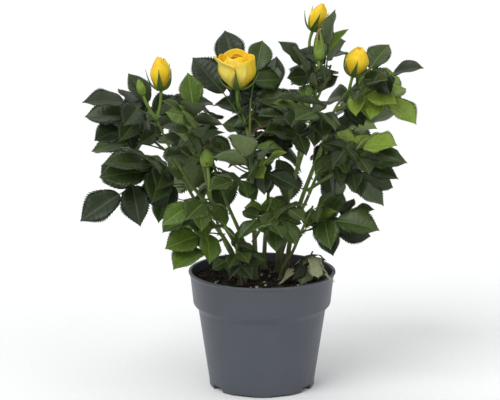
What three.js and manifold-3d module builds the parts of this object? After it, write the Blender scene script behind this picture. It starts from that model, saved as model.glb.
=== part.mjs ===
// A miniature rose bush with four yellow flowers, standing in a round nursery pot.
// Millimetres, +Z up, -Y is the front. The origin is the middle of the pot's flat underside.
import * as THREE from 'three';
import { mergeVertices } from 'three/addons/utils/BufferGeometryUtils.js';
import Module from 'manifold-3d';

const wasm = await Module();
wasm.setup();

// Driving dimensions.
const seatGap = 0.3;
const degree = Math.PI / 180;
const goldenAngle = 137.5 * degree;
const goldenShare = 0.618;

const pot = {
  height: 104,
  heelRadius: 46.5,
  bodyTop: { radius: 56.4, height: 70 },
  collar: { radius: 60.8, height: 75 },
  rim: { radius: 63.6, height: 101 },
  lip: { radius: 65, height: 102.4 },
  wall: 1.5,
  floor: 5,
  sides: 36,
  drain: { angles: [57, 123, 237, 303], width: 14, height: 3.5, depth: 9 },
  relief: { angles: [21, 159, 201, 339], width: 18, height: 1.2, depth: 3 },
};

const soil = { top: 99, edge: 96.5, flatRadius: 47 };
const limbFoot = soil.top + seatGap;
const stem = { flare: 1.5, flareHeight: 5, sides: 5, upright: 0.4, bow: 0.7, steps: { cane: 7, bough: 4 } };
const twig = {
  sides: 3,
  radius: 1.5,
  tipRadius: 1.1,
  bend: 0.45,
  stemNodes: { first: 0.18, last: 0.96, count: 10 },
  sideNodes: { first: 0.5, last: 0.96, count: 4 },
  forks: { first: 0.3, span: 0.4 },
  length: 0.55,
  spread: 26,
  lift: 14,
  sag: 3,
  slimness: 0.85,
};
const sampleRows = { forward: [0.15, 0.3, 0.45, 0.6, 0.8], sideways: [-1, -0.5, 0, 0.5, 1], lead: 0.8 };
const stalk = { halfWidth: 0.7, halfHeight: 0.6, halfRoot: 1, testFrom: 0.3, testStep: 0.12 };
const leaf = {
  thickness: 0.9,
  arch: { least: 0.14, more: 0.18 },
  steep: 0.12,
  facing: 0.75,
  roll: 0.6,
  terminal: { share: 0.56, least: 20, most: 44 },
  pairs: [{ back: 0.3, angle: 70, scale: 0.86 }, { back: 0.78, angle: 70, scale: 0.66 }],
  widest: { from: 0.27, to: 0.63, half: 0.41, middle: 0.42 },
  tilt: { range: 0.3, down: 0.6 },
  length: { least: 0.94, more: 0.1 },
  width: { least: 0.66, more: 0.14 },
  fold: { least: 0.06, more: 0.1 },
  droop: { least: 0.05, more: 0.12 },
  bareStalk: 5,
  leastShare: 0.5,
};
const spray = {
  aimTries: 24,
  tries: 64,
  triesPerNode: 4,
  wander: { least: 0.5, more: 0.2 },
  lift: { least: -35, more: 75 },
  reach: { least: 0.85, more: 0.3 },
  aimShrink: 0.01,
  shrink: 0.006,
};
const roomShares = [0.1, 0.3, 0.5, 0.7, 0.9];
const stationSteps = 30;
const randomStep = { by: 1664525, plus: 1013904223, span: 4294967296 };
const plantSeed = 30;
const seedSteps = {
  twig: 7919,
  aim: { mass: 104729, leaf: 7907, attempt: 613 },
  leaf: { mass: 15485, leaf: 3571, attempt: 911 },
  withered: 6007,
};
const clearance = { space: 1.2, limb: 4.2, flower: 3, leaf: 3.2, rim: 4, soil: 3 };

// The stems that rise from the soil, and the boughs that leave them part of the way up.
const limbs = [
  { name: 'cane_left', foot: [-17, 2], tip: [-70, -2, 194], radius: [2.2, 1.5] },
  { name: 'cane_left_low', foot: [-21, -9], tip: [-62, -12, 176], radius: [2.0, 1.4] },
  { name: 'cane_front_left', foot: [-16, -20], tip: [-30, -26, 130], radius: [2.0, 1.4] },
  { name: 'cane_centre', foot: [-6, -14], tip: [-10, -12, 208], radius: [2.4, 1.6] },
  { name: 'cane_sprout', foot: [-19, -33], tip: [-21, -33, 112], radius: [1.5, 1.2] },
  { name: 'cane_top', foot: [14, 10], tip: [44, 9, 240], radius: [2.4, 1.6] },
  { name: 'cane_right', foot: [22, -2], tip: [60, 4, 238], radius: [2.3, 1.5] },
  { name: 'cane_right_low', foot: [17, -13], tip: [28, -18, 128], radius: [1.8, 1.3] },
  { name: 'cane_back_left', foot: [-12, 19], tip: [-34, 36, 164], radius: [2.1, 1.4] },
  { name: 'cane_back', foot: [2, 23], tip: [6, 40, 168], radius: [2.1, 1.4] },
  { name: 'cane_back_right', foot: [16, 25], tip: [42, 36, 164], radius: [2.1, 1.4] },
  { name: 'bough_front_low', from: 'cane_centre', at: 0.3, tip: [-2, -32, 148], radius: [1.5, 1.3] },
  { name: 'bough_front', from: 'cane_centre', at: 0.62, tip: [-9, -34, 186], radius: [1.5, 1.3] },
  { name: 'bough_left_mid', from: 'cane_left_low', at: 0.55, tip: [-50, -16, 196], radius: [1.5, 1.3] },
  { name: 'bough_right_front', from: 'cane_top', at: 0.62, tip: [33, -20, 222], radius: [1.5, 1.3] },
  { name: 'bough_right_mid', from: 'cane_right', at: 0.5, tip: [58, -16, 192], radius: [1.5, 1.3] },
];

// The masses of foliage. Each grows from the tip of its limb and keeps inside an ellipsoid of
// its own, trimmed midway to its neighbours. The aims are the tips of its longest leaves.
const masses = [
  {
    name: 'sprout', limb: 'cane_sprout', tip: [-22, -34, 138], leaves: 6, twigs: 0, reach: 40,
    centre: [-20, -42, 126], size: [38, 34, 34], faces: -1,
    aims: [[-12, -60, 121], [-28, -60, 116]],
    flowers: [],
  },
  {
    name: 'left', limb: 'cane_left', tip: [-92, 0, 240], leaves: 7, twigs: 1, reach: 79,
    centre: [-118, 8, 238], size: [58, 52, 44], faces: -1,
    aims: [[-165, 0, 242], [-154, 12, 204], [-124, -30, 236]],
    flowers: [{ name: 'bloom_left', base: [-88, 0, 264] }, { name: 'bud_left', base: [-103, -8, 262] }],
  },
  {
    name: 'left_low', limb: 'cane_left_low', tip: [-80, -17, 208], leaves: 7, twigs: 0, reach: 84,
    centre: [-118, -30, 176], size: [66, 54, 56], faces: -1,
    aims: [[-160, -34, 148], [-142, -46, 186], [-127, -28, 170]],
    flowers: [],
  },
  {
    name: 'left_mid', limb: 'bough_left_mid', tip: [-58, -18, 232], leaves: 7, twigs: 0, reach: 66,
    centre: [-62, -28, 242], size: [40, 48, 54], faces: -1,
    aims: [[-66, -10, 288], [-72, -42, 250], [-84, -52, 214]],
    flowers: [],
  },
  {
    name: 'front_left', limb: 'cane_front_left', tip: [-45, -38, 184], leaves: 9,
    twigs: 0, reach: 73,
    centre: [-62, -56, 148], size: [50, 48, 52], faces: -1,
    aims: [[-90, -42, 121], [-78, -78, 118], [-97, -40, 157], [-42, -70, 156], [-30, -52, 150]],
    flowers: [{ name: 'bud_front', base: [-47, -38, 205] }],
  },
  {
    name: 'front_low', limb: 'bough_front_low', tip: [8, -40, 178], leaves: 9, twigs: 0, reach: 62,
    centre: [10, -52, 156], size: [46, 46, 42], faces: -1,
    aims: [[-26, -60, 138], [30, -64, 136]],
    flowers: [],
  },
  {
    name: 'front', limb: 'bough_front', tip: [-10, -46, 216], leaves: 8, twigs: 0, reach: 70,
    centre: [-4, -64, 200], size: [50, 50, 54], faces: -1,
    aims: [[-46, -74, 186], [24, -66, 222], [32, -56, 186]],
    flowers: [],
  },
  {
    name: 'centre', limb: 'cane_centre', tip: [-18, 6, 246], leaves: 11, twigs: 1, reach: 73,
    centre: [-16, 16, 272], size: [56, 56, 52], faces: -1,
    aims: [[-60, 16, 286], [-34, 30, 310], [4, 28, 315], [-14, 26, 302]],
    flowers: [{ name: 'bloom_centre', base: [-21.9, -15, 268] }],
  },
  {
    name: 'right_front', limb: 'bough_right_front', tip: [36, -36, 256], leaves: 7,
    twigs: 0, reach: 66,
    centre: [32, -56, 248], size: [48, 48, 42], faces: -1,
    aims: [[0, -62, 234], [62, -64, 234]],
    flowers: [],
  },
  {
    name: 'top', limb: 'cane_top', tip: [47, 10, 282], leaves: 10, twigs: 1, reach: 68,
    centre: [46, 16, 296], size: [56, 54, 50], faces: -1,
    aims: [[62, -3, 341], [80, 16, 324], [12, 12, 310], [26, -16, 300], [84, 28, 318]],
    flowers: [{ name: 'bloom_top', base: [43.5, 20, 313] }, { name: 'bud_top', base: [48.6, -12, 293] }],
  },
  {
    name: 'right', limb: 'cane_right', tip: [76, 2, 266], leaves: 10, twigs: 1, reach: 70,
    centre: [106, 4, 278], size: [54, 54, 62], faces: -1,
    aims: [[137, -28, 234], [138, 6, 232], [127, 0, 271], [104, 22, 310]],
    flowers: [{ name: 'bloom_right', base: [78, -4, 277] }],
  },
  {
    name: 'right_mid', limb: 'bough_right_mid', tip: [78, -26, 224], leaves: 8, twigs: 0, reach: 68,
    centre: [88, -38, 204], size: [50, 50, 46], faces: -1,
    aims: [[118, -40, 193], [60, -56, 206], [44, -44, 196]],
    flowers: [],
  },
  {
    name: 'right_low', limb: 'cane_right_low', tip: [44, -26, 168], leaves: 7, twigs: 0, reach: 66,
    centre: [68, -34, 158], size: [50, 46, 40], faces: -1,
    aims: [[30, -60, 158], [102, -15, 124]],
    flowers: [],
  },
  {
    name: 'back_left', limb: 'cane_back_left', tip: [-62, 60, 236], leaves: 13, twigs: 2, reach: 79,
    centre: [-58, 58, 196], size: [66, 58, 82], faces: 1,
    aims: [[-118, 70, 226], [-70, 116, 204], [-64, 34, 160], [-30, 26, 136]],
    flowers: [],
  },
  {
    name: 'back', limb: 'cane_back', tip: [8, 62, 254], leaves: 13, twigs: 2, reach: 79,
    centre: [8, 62, 208], size: [60, 60, 90], faces: 1,
    aims: [[4, 118, 204], [10, 70, 294], [-16, 26, 150], [28, 24, 150], [4, 40, 124]],
    flowers: [],
  },
  {
    name: 'back_right', limb: 'cane_back_right', tip: [76, 58, 236], leaves: 13,
    twigs: 2, reach: 79,
    centre: [74, 58, 196], size: [64, 58, 82], faces: 1,
    aims: [[130, 62, 232], [84, 116, 200], [80, 26, 160], [52, 24, 136]],
    flowers: [],
  },
];

masses.forEach((mass, index) => {
  mass.seed = plantSeed + index;
});

// A dead shoot low on the right, with its leaves curled up and hanging toward the rim.
const withered = {
  foot: [36, -24],
  tip: [44, -28, 128],
  leaves: 9,
  length: 29,
  width: 17,
  headings: { first: -165, last: 75 },
  roots: { first: 0.62, last: 0.96 },
  fall: 0.15,
  droop: 0.12,
  stalk: { rise: 12, taper: 0.4, steps: 4 },
  lengths: { least: 0.75, more: 0.3 },
  sunk: 0.1,
  curl: -0.2,
};

// The flowers and buds, named as in the masses that carry them.
const flowerForms = {
  bloom_left: { kind: 'bud', width: 18, height: 31, lean: [-0.02, 0], sepal: 19 },
  bloom_centre: { kind: 'cup', width: 34, height: 31, lean: [0, -0.05], sepal: 20 },
  bloom_top: { kind: 'bud', width: 16, height: 27, lean: [0.4, 0], sepal: 17 },
  bloom_right: { kind: 'bud', width: 21, height: 28, lean: [0.28, 0], sepal: 17 },
  bud_left: { kind: 'green', width: 8, height: 15, lean: [-0.3, -0.1], sepal: 10 },
  bud_front: { kind: 'green', width: 13, height: 16, lean: [-0.1, 0], sepal: 8 },
  bud_top: { kind: 'green', width: 10, height: 30, lean: [0, 0], sepal: 9 },
};

// How each kind of flower is built: its core's girth and fullness, and its outer petals.
const flowerKinds = {
  bud: {
    core: 0.84,
    fullness: 0.62,
    petals: { count: 2, step: 3, width: 1.9, radius: 0.98, close: 0.3, height: 0.7 },
  },
  cup: {
    core: 0.6,
    fullness: 0.72,
    petals: { count: 5, step: 1.257, width: 1.15, radius: 0.96, close: 0.05, height: 0.86 },
  },
  green: { core: 1, fullness: 0.72 },
};
const petalShape = {
  narrow: 0.5,
  from: 0.15,
  span: 0.7,
  foot: 0.25,
  openBy: 0.6,
  rounding: 0.12,
  first: 0.4,
  base: 0.1,
};
const hip = { radius: 0.32, height: 0.07, shoulder: 0.16, rings: 5, sides: 8 };
const sepals = {
  count: 5,
  first: 0.5,
  root: 0.16,
  rootHeight: 2.2,
  width: { share: 0.3, least: 3.4 },
  sunk: 1.5,
  fold: -0.08,
  spread: { bud: 0.75, cup: 0.9, green: 0.25 },
  droop: { bud: -0.1, cup: -0.1, green: 0 },
};
const simplifyBy = 0.05;
const flowerStalkPlan = { ease: -0.5, sunk: -0.04, sides: 4, steps: 4 };
const colours = {
  pot: 0x5a5e66,
  soil: 0x241f1c,
  cane: 0x5d7034,
  leaf: 0x2f4a24,
  withered: 0x8f9a72,
  petal: 0xf2c62e,
  bud: 0x6f8a3a,
};
const rough = { pot: 0.55, soil: 0.95, cane: 0.7, leaf: 0.5, withered: 0.9, flower: 0.6 };

const plant = new THREE.Group();

// Shapes and solids.

const vector = (list) => new THREE.Vector3(...list);

function toSolid(geometry) {
  const bare = geometry.index ? geometry.clone() : geometry;
  bare.deleteAttribute('normal');
  bare.deleteAttribute('uv');
  const merged = mergeVertices(bare, 1e-4);
  return new wasm.Manifold(new wasm.Mesh({
    numProp: 3,
    vertProperties: merged.attributes.position.array,
    triVerts: new Uint32Array(merged.index.array),
  }));
}

// The largest piece of a solid, without the hollows that joining sealed in it.
function largestPiece(solid) {
  const pieces = solid.decompose();
  return pieces.reduce((best, piece) => (piece.volume() > best.volume() ? piece : best));
}

function addPart(name, solid, colour, roughness) {
  const { vertProperties, triVerts, numProp } = solid.getMesh();
  const positions = new Float32Array((vertProperties.length / numProp) * 3);
  for (let i = 0; i < positions.length / 3; i += 1) {
    positions.set(vertProperties.subarray(i * numProp, i * numProp + 3), i * 3);
  }
  const geometry = new THREE.BufferGeometry();
  geometry.setAttribute('position', new THREE.BufferAttribute(positions, 3));
  geometry.setIndex(new THREE.BufferAttribute(new Uint32Array(triVerts), 1));
  geometry.computeVertexNormals();
  const look = { color: colour, roughness, metalness: 0, flatShading: true };
  const material = new THREE.MeshStandardMaterial(look);
  const mesh = new THREE.Mesh(geometry, material);
  mesh.name = name;
  plant.add(mesh);
}

function indexedGeometry(points, faces) {
  const geometry = new THREE.BufferGeometry();
  geometry.setAttribute('position', new THREE.Float32BufferAttribute(points.flatMap((p) => p.toArray()), 3));
  geometry.setIndex(faces.flat());
  return geometry;
}

function slopeAt(curve, t) {
  const step = 0.01;
  return curve.getPoint(Math.min(t + step, 1)).sub(curve.getPoint(Math.max(t - step, 0))).normalize();
}

// A tapering limb along a curve, cut square at both ends, or level at its foot.
function limbSolid(curve, radiusAt, sides, steps, levelFoot = false) {
  const points = [];
  const faces = [];
  const across = new THREE.Vector3(0, 1, 0);
  for (let i = 0; i <= steps; i += 1) {
    const centre = curve.getPoint(i / steps);
    const along = slopeAt(curve, i / steps);
    if (Math.abs(along.y) > 0.9) across.set(1, 0, 0);
    const side = across.clone().cross(along).normalize();
    const other = along.clone().cross(side);
    for (let j = 0; j < sides; j += 1) {
      const turn = (j / sides) * 2 * Math.PI;
      const point = centre.clone();
      point.addScaledVector(side, radiusAt(i / steps) * Math.cos(turn));
      point.addScaledVector(other, radiusAt(i / steps) * Math.sin(turn));
      if (levelFoot && i === 0) point.z = centre.z;
      points.push(point);
    }
  }
  for (let i = 0; i < steps; i += 1) {
    for (let j = 0; j < sides; j += 1) {
      const a = i * sides + j;
      const b = i * sides + ((j + 1) % sides);
      faces.push([a, b, b + sides], [a, b + sides, a + sides]);
    }
  }
  for (let j = 1; j < sides - 1; j += 1) {
    const last = steps * sides;
    faces.push([0, j + 1, j], [last, last + j, last + j + 1]);
  }
  return toSolid(indexedGeometry(points, faces));
}

// A blade's own points: its outline from the left of its root round to the right, then the
// middle of its upper and lower faces. The outline is sharp and the midrib is thick.
function bladePoints(blade) {
  const { root, along, across, normal, length, width } = blade;
  const place = (forward, sideways, height) => root.clone()
    .addScaledVector(along, forward * length)
    .addScaledVector(across, sideways * width)
    .addScaledVector(normal, height);
  const { from, to, half, middle } = leaf.widest;
  const edge = blade.fold * width;
  const fall = blade.droop * length;
  return [
    place(from, half, edge),
    place(to, half, edge - 0.3 * fall),
    place(1, 0, -fall),
    place(to, -half, edge - 0.3 * fall),
    place(from, -half, edge),
    place(middle, 0, leaf.thickness / 2),
    place(middle, 0, -leaf.thickness / 2),
  ];
}

// A single blade that comes to a point at its root.
function bladeSolid(blade) {
  const points = bladePoints(blade);
  points.unshift(blade.root.clone().addScaledVector(blade.along, -blade.sunk));
  const [upper, lower] = [6, 7];
  const faces = [];
  for (let i = 0; i < 6; i += 1) {
    const next = (i + 1) % 6;
    faces.push([upper, next, i], [lower, i, next]);
  }
  return toSolid(indexedGeometry(points, faces));
}

// A closed shell on a patch: surface(u, v) gives its middle, u across and v upward, from 0 to 1.
function shellSolid(surface, across, upward, thickness) {
  const points = [];
  const faces = [];
  const columns = across + 1;
  const layer = columns * (upward + 1);
  const step = 0.01;
  [1, -1].forEach((side) => {
    for (let j = 0; j <= upward; j += 1) {
      for (let i = 0; i <= across; i += 1) {
        const u = i / across;
        const v = j / upward;
        const overU = surface(u + step, v).sub(surface(u - step, v));
        const overV = surface(u, v + step).sub(surface(u, v - step));
        const normal = overU.cross(overV).normalize();
        points.push(surface(u, v).addScaledVector(normal, (side * thickness) / 2));
      }
    }
  });
  const quad = (a, b, c, d) => faces.push([a, b, c], [a, c, d]);
  for (let j = 0; j < upward; j += 1) {
    for (let i = 0; i < across; i += 1) {
      const a = j * columns + i;
      quad(a, a + 1, a + columns + 1, a + columns);
      quad(layer + a, layer + a + columns, layer + a + columns + 1, layer + a + 1);
    }
  }
  const rim = [];
  for (let i = 0; i < across; i += 1) rim.push(i);
  for (let j = 0; j < upward; j += 1) rim.push(j * columns + across);
  for (let i = across; i > 0; i -= 1) rim.push(upward * columns + i);
  for (let j = upward; j > 0; j -= 1) rim.push(j * columns);
  rim.forEach((a, index) => {
    const b = rim[(index + 1) % rim.length];
    quad(b, a, layer + a, layer + b);
  });
  return toSolid(indexedGeometry(points, faces));
}

// The pot is a thin shell with a shouldered collar and a heavy base, notched under its heel.
function makePot() {
  const inner = (radius) => radius - pot.wall;
  const profile = [
    [0, 0],
    [pot.heelRadius, 0],
    [pot.bodyTop.radius, pot.bodyTop.height],
    [pot.collar.radius, pot.collar.height],
    [pot.rim.radius, pot.rim.height],
    [pot.lip.radius, pot.lip.height],
    [pot.lip.radius, pot.height],
    [inner(pot.rim.radius), pot.height],
    [inner(pot.collar.radius), pot.collar.height + 1],
    [inner(pot.bodyTop.radius), pot.bodyTop.height + 1],
    [inner(pot.heelRadius) + 0.6, pot.floor],
    [0, pot.floor],
  ].map(([radius, height]) => new THREE.Vector2(radius, height));
  const shell = new THREE.LatheGeometry(profile, pot.sides);
  shell.rotateX(Math.PI / 2);
  let solid = toSolid(shell);
  [pot.drain, pot.relief].forEach((notch) => {
    notch.angles.forEach((angle) => {
      const cutter = new THREE.BoxGeometry(notch.width, notch.depth * 2, notch.height * 2);
      cutter.translate(0, -pot.heelRadius, 0);
      cutter.rotateZ(angle * degree);
      solid = solid.subtract(toSolid(cutter));
    });
  });
  return solid;
}

// The soil fills the pot to just under its rim, 0.3 mm clear of the wall.
function makeSoil() {
  const inset = pot.wall + seatGap;
  const slope = (pot.rim.radius - pot.collar.radius) / (pot.rim.height - pot.collar.height);
  const edgeRadius = pot.collar.radius + slope * (soil.edge - pot.collar.height) - inset - 0.2;
  const profile = [
    [0, pot.floor + seatGap],
    [pot.heelRadius - inset, pot.floor + seatGap],
    [pot.bodyTop.radius - inset, pot.bodyTop.height + 1],
    [pot.collar.radius - inset - 0.2, pot.collar.height + 1.6],
    [edgeRadius, soil.edge],
    [soil.flatRadius, soil.top],
    [0, soil.top],
  ].map(([radius, height]) => new THREE.Vector2(radius, height));
  const body = new THREE.LatheGeometry(profile, pot.sides);
  body.rotateX(Math.PI / 2);
  return toSolid(body);
}

// Limbs.

function limbCurve(limb) {
  const tip = vector(limb.tip);
  if (!limb.from) {
    const foot = new THREE.Vector3(limb.foot[0], limb.foot[1], limbFoot);
    const rise = tip.z - foot.z;
    const straight = foot.clone().add(new THREE.Vector3(0, 0, rise * stem.upright));
    const lean = foot.clone().lerp(tip, stem.bow);
    return new THREE.CubicBezierCurve3(foot, straight, lean, tip);
  }
  const parent = limbs.find((other) => other.name === limb.from);
  const parentCurve = limbCurve(parent);
  const fork = parentCurve.getPoint(limb.at);
  const aim = tip.clone().sub(fork).normalize();
  const angle = Math.acos(slopeAt(parentCurve, limb.at).dot(aim));
  const girth = limbRadius(parent, limb.at) + seatGap;
  const reachOut = girth / Math.sin(angle) + limb.radius[0] / Math.tan(angle);
  const start = fork.clone().addScaledVector(aim, reachOut);
  const along = [0.33, 0.67].map((share) => start.clone().lerp(tip, share));
  return new THREE.CubicBezierCurve3(start, ...along, tip);
}

function limbRadius(limb, t) {
  const [base, tip] = limb.radius;
  const height = t * (limb.tip[2] - limbFoot);
  const flare = limb.from ? 0 : stem.flare * Math.max(0, 1 - height / stem.flareHeight);
  return base + (tip - base) * t + flare;
}

// The seeded growth rule.

function makeRandom(seed) {
  let state = seed % randomStep.span;
  return () => {
    state = (Math.imul(state, randomStep.by) + randomStep.plus) >>> 0;
    return state / randomStep.span;
  };
}

function massStem(mass) {
  const limb = limbs.find((other) => other.name === mass.limb);
  const curve = limbCurve(limb);
  const direction = slopeAt(curve, 1);
  const start = curve.getPoint(1).addScaledVector(direction, seatGap);
  const tip = vector(mass.tip);
  const bend = start.clone().addScaledVector(direction, start.distanceTo(tip) * twig.bend);
  return new THREE.QuadraticBezierCurve3(start, bend, tip);
}

// A compound leaf: a bowed stalk with leaflets in pairs and one at its end.
function growLeaf(base, tip, mass, random) {
  const chord = base.distanceTo(tip);
  const outward = new THREE.Vector3(tip.x - base.x, tip.y - base.y, 0);
  if (outward.length() < leaf.steep * chord) outward.set(base.x, base.y, 0);
  outward.normalize();
  const bend = base.clone().lerp(tip, 0.5);
  bend.z += chord * (leaf.arch.least + leaf.arch.more * random());
  const spine = new THREE.QuadraticBezierCurve3(base, bend, tip);
  const level = new THREE.Vector3(-outward.y, outward.x, 0);
  const roll = -level.y * mass.faces * leaf.facing + (random() - 0.5) * leaf.roll;
  const { share, least, most } = leaf.terminal;
  const terminal = Math.min(Math.max(share * chord, least), most);
  const stalkEnd = 1 - terminal / chord;
  const frameAt = (t) => {
    const forward = slopeAt(spine, t);
    const flat = forward.clone().cross(level).normalize();
    const side = level.clone().multiplyScalar(Math.cos(roll)).addScaledVector(flat, Math.sin(roll));
    return { forward, side, normal: forward.clone().cross(side).normalize() };
  };
  const leaflets = [];
  const addLeaflet = (t, angle, scale) => {
    const { forward, side, normal } = frameAt(t);
    const turn = angle * degree;
    const along = forward.multiplyScalar(Math.cos(turn)).addScaledVector(side, Math.sin(turn));
    along.addScaledVector(normal, (random() - leaf.tilt.down) * leaf.tilt.range).normalize();
    const across = normal.cross(along).normalize();
    const length = terminal * scale * (leaf.length.least + leaf.length.more * random());
    leaflets.push({
      root: spine.getPoint(t),
      t,
      hand: Math.sign(angle),
      along,
      across,
      normal: along.clone().cross(across),
      length,
      width: length * (leaf.width.least + leaf.width.more * random()),
      fold: leaf.fold.least + leaf.fold.more * random(),
      droop: leaf.droop.least + leaf.droop.more * random(),
    });
  };
  leaf.pairs.forEach(({ back, angle, scale }) => {
    if (chord - terminal * (1 + back) < leaf.bareStalk) return;
    const t = stalkEnd - (back * terminal) / chord;
    addLeaflet(t, angle, scale);
    addLeaflet(t, -angle, scale);
  });
  addLeaflet(stalkEnd, 0, 1);
  return { spine, chord, stalkEnd, frameAt, leaflets };
}

// One closed body for a compound leaf. Its four-sided stalk starts in a point inside its twig.
// Where a leaflet leaves the stalk, that side of the stalk opens into the leaflet's two faces.
function leafSolid({ spine, chord, stalkEnd, frameAt, leaflets }) {
  const points = [spine.getPoint(0)];
  const faces = [];
  const addRing = (t) => {
    const { side, normal } = frameAt(t);
    const centre = spine.getPoint(t);
    const corners = [[1, 1], [-1, 1], [-1, -1], [1, -1]];
    corners.forEach(([left, above]) => points.push(centre.clone()
      .addScaledVector(side, left * stalk.halfWidth)
      .addScaledVector(normal, above * stalk.halfHeight)));
    const first = points.length - 4;
    return [first, first + 1, first + 2, first + 3];
  };
  const joinSide = (from, to, k) => {
    const next = (k + 1) % 4;
    faces.push([from[k], from[next], to[next]], [from[k], to[next], to[k]]);
  };
  const attach = (leaflet, topPlus, topMinus, bottomPlus, bottomMinus) => {
    const first = points.length;
    points.push(...bladePoints(leaflet));
    const [upper, lower] = [first + 5, first + 6];
    const rim = [first + 4, first + 3, first + 2, first + 1, first];
    const above = [topMinus, ...rim, topPlus];
    const below = [bottomMinus, ...rim, bottomPlus];
    for (let i = 0; i < above.length; i += 1) {
      const next = (i + 1) % above.length;
      faces.push([upper, above[i], above[next]], [lower, below[next], below[i]]);
    }
    faces.push([topPlus, first, bottomPlus], [first + 4, topMinus, bottomMinus]);
  };
  const stops = [...new Set(leaflets.filter((leaflet) => leaflet.hand).map((leaflet) => leaflet.t))];
  stops.sort((a, b) => a - b);
  let previous = null;
  const joinRings = (ring) => {
    for (let k = 0; k < 4; k += 1) {
      if (previous) joinSide(previous, ring, k);
      else faces.push([0, ring[(k + 1) % 4], ring[k]]);
    }
    previous = ring;
  };
  stops.forEach((t) => {
    const from = addRing(t - stalk.halfRoot / chord);
    joinRings(from);
    const to = addRing(t + stalk.halfRoot / chord);
    joinSide(from, to, 0);
    joinSide(from, to, 2);
    const left = leaflets.find((leaflet) => leaflet.t === t && leaflet.hand > 0);
    const right = leaflets.find((leaflet) => leaflet.t === t && leaflet.hand < 0);
    if (left) attach(left, from[0], to[0], from[3], to[3]);
    else joinSide(from, to, 3);
    if (right) attach(right, to[1], from[1], to[2], from[2]);
    else joinSide(from, to, 1);
    previous = to;
  });
  const end = addRing(stalkEnd);
  joinRings(end);
  const last = leaflets.find((leaflet) => leaflet.hand === 0);
  if (last) attach(last, end[0], end[1], end[3], end[2]);
  else faces.push([end[0], end[1], end[2]], [end[0], end[2], end[3]]);
  return toSolid(indexedGeometry(points, faces));
}

// Points spread over a leaflet, used to test the room it takes: its corners, and rows between.
function leafletSamples(leaflet) {
  const { root, along, across, normal, length, width, fold, droop } = leaflet;
  const samples = bladePoints(leaflet);
  sampleRows.forward.forEach((forward) => {
    const halfWidth = leaf.widest.half * Math.sin(Math.PI * forward ** sampleRows.lead) * width;
    sampleRows.sideways.forEach((sideways) => {
      samples.push(root.clone()
        .addScaledVector(along, forward * length)
        .addScaledVector(across, sideways * halfWidth)
        .addScaledVector(normal, Math.abs(sideways) * fold * width - droop * length * forward ** 2));
    });
  });
  return samples;
}

function power(point, mass) {
  const [rx, ry, rz] = mass.size;
  const radius = (rx + ry + rz) / 3;
  return point.distanceToSquared(vector(mass.centre)) - radius * radius;
}

function inOwnSpace(point, mass) {
  const [x, y, z] = mass.centre;
  const [rx, ry, rz] = mass.size;
  const reach = ((point.x - x) / rx) ** 2 + ((point.y - y) / ry) ** 2 + ((point.z - z) / rz) ** 2;
  if (reach > 1) return false;
  const own = power(point, mass);
  return masses.every((other) => {
    if (other === mass) return true;
    const apart = vector(mass.centre).distanceTo(vector(other.centre));
    return power(point, other) - own > 2 * apart * clearance.space;
  });
}

// Stations along a curve, used to keep leaves off it.
function stationsAlong(curve, radiusAt, owner) {
  const stations = [];
  for (let i = 0; i <= stationSteps; i += 1) {
    const t = i / stationSteps;
    stations.push({ point: curve.getPoint(t), radius: radiusAt(t), owner });
  }
  return stations;
}

// The room a flower takes: a row of spheres along its leaning axis.
function flowerRooms({ name, base }) {
  const { lean, height, width } = flowerForms[name];
  return roomShares.map((share) => {
    const rise = new THREE.Vector3(lean[0], lean[1], 1).multiplyScalar(height * share);
    return { middle: vector(base).add(rise), radius: width / 2 };
  });
}

// What every leaf keeps clear of: the limbs, the flowers and the twigs of the other masses.
const obstacles = { stations: [], rooms: [], points: [] };

function hasRoom(point, mass) {
  const overPot = Math.hypot(point.x, point.y) < pot.lip.radius + clearance.rim;
  if (overPot && point.z < pot.height + clearance.soil) return false;
  const touches = ({ point: station, radius, owner }) => (
    owner !== mass && station.distanceTo(point) < radius + clearance.limb);
  if (obstacles.stations.some(touches)) return false;
  const near = (room) => room.middle.distanceTo(point) < room.radius + clearance.flower;
  if (obstacles.rooms.some(near)) return false;
  const crowds = (taken) => taken.distanceToSquared(point) < clearance.leaf ** 2;
  return !obstacles.points.some(crowds) && !mass.taken.some(crowds);
}

// A leaf needs a clear way for its stalk. A leaflet that has no room of its own is left off.
function tryLeaf(base, tip, mass, random) {
  const grown = growLeaf(base, tip, mass, random);
  const isFree = (point) => inOwnSpace(point, mass) && hasRoom(point, mass);
  grown.samples = [];
  for (let t = stalk.testFrom; t <= grown.stalkEnd; t += stalk.testStep) {
    grown.samples.push(grown.spine.getPoint(t));
  }
  if (!grown.samples.every(isFree)) return null;
  const whole = grown.leaflets.length;
  grown.leaflets = grown.leaflets.filter((leaflet) => {
    const samples = leafletSamples(leaflet);
    if (!samples.every(isFree)) return false;
    grown.samples.push(...samples);
    return true;
  });
  grown.share = grown.leaflets.length / whole;
  return grown;
}

// Each mass's twigs: its stem, and side twigs that leave the stem at the golden angle.
function growTwigs(mass) {
  const trunk = massStem(mass);
  const twigs = [trunk];
  const random = makeRandom(mass.seed * seedSteps.twig);
  for (let i = 0; i < mass.twigs; i += 1) {
    const start = trunk.getPoint(twig.forks.first + (twig.forks.span * i) / mass.twigs);
    const heading = i * goldenAngle + random() * 2 * Math.PI;
    const away = vector(mass.centre).sub(start);
    away.x += twig.spread * Math.cos(heading);
    away.y += twig.spread * Math.sin(heading);
    away.z = Math.abs(away.z) + twig.lift;
    away.normalize();
    const end = start.clone().addScaledVector(away, mass.reach * twig.length);
    const bend = start.clone().lerp(end, 0.5);
    bend.z -= twig.sag;
    twigs.push(new THREE.QuadraticBezierCurve3(start, bend, end));
  }
  return twigs;
}

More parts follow.
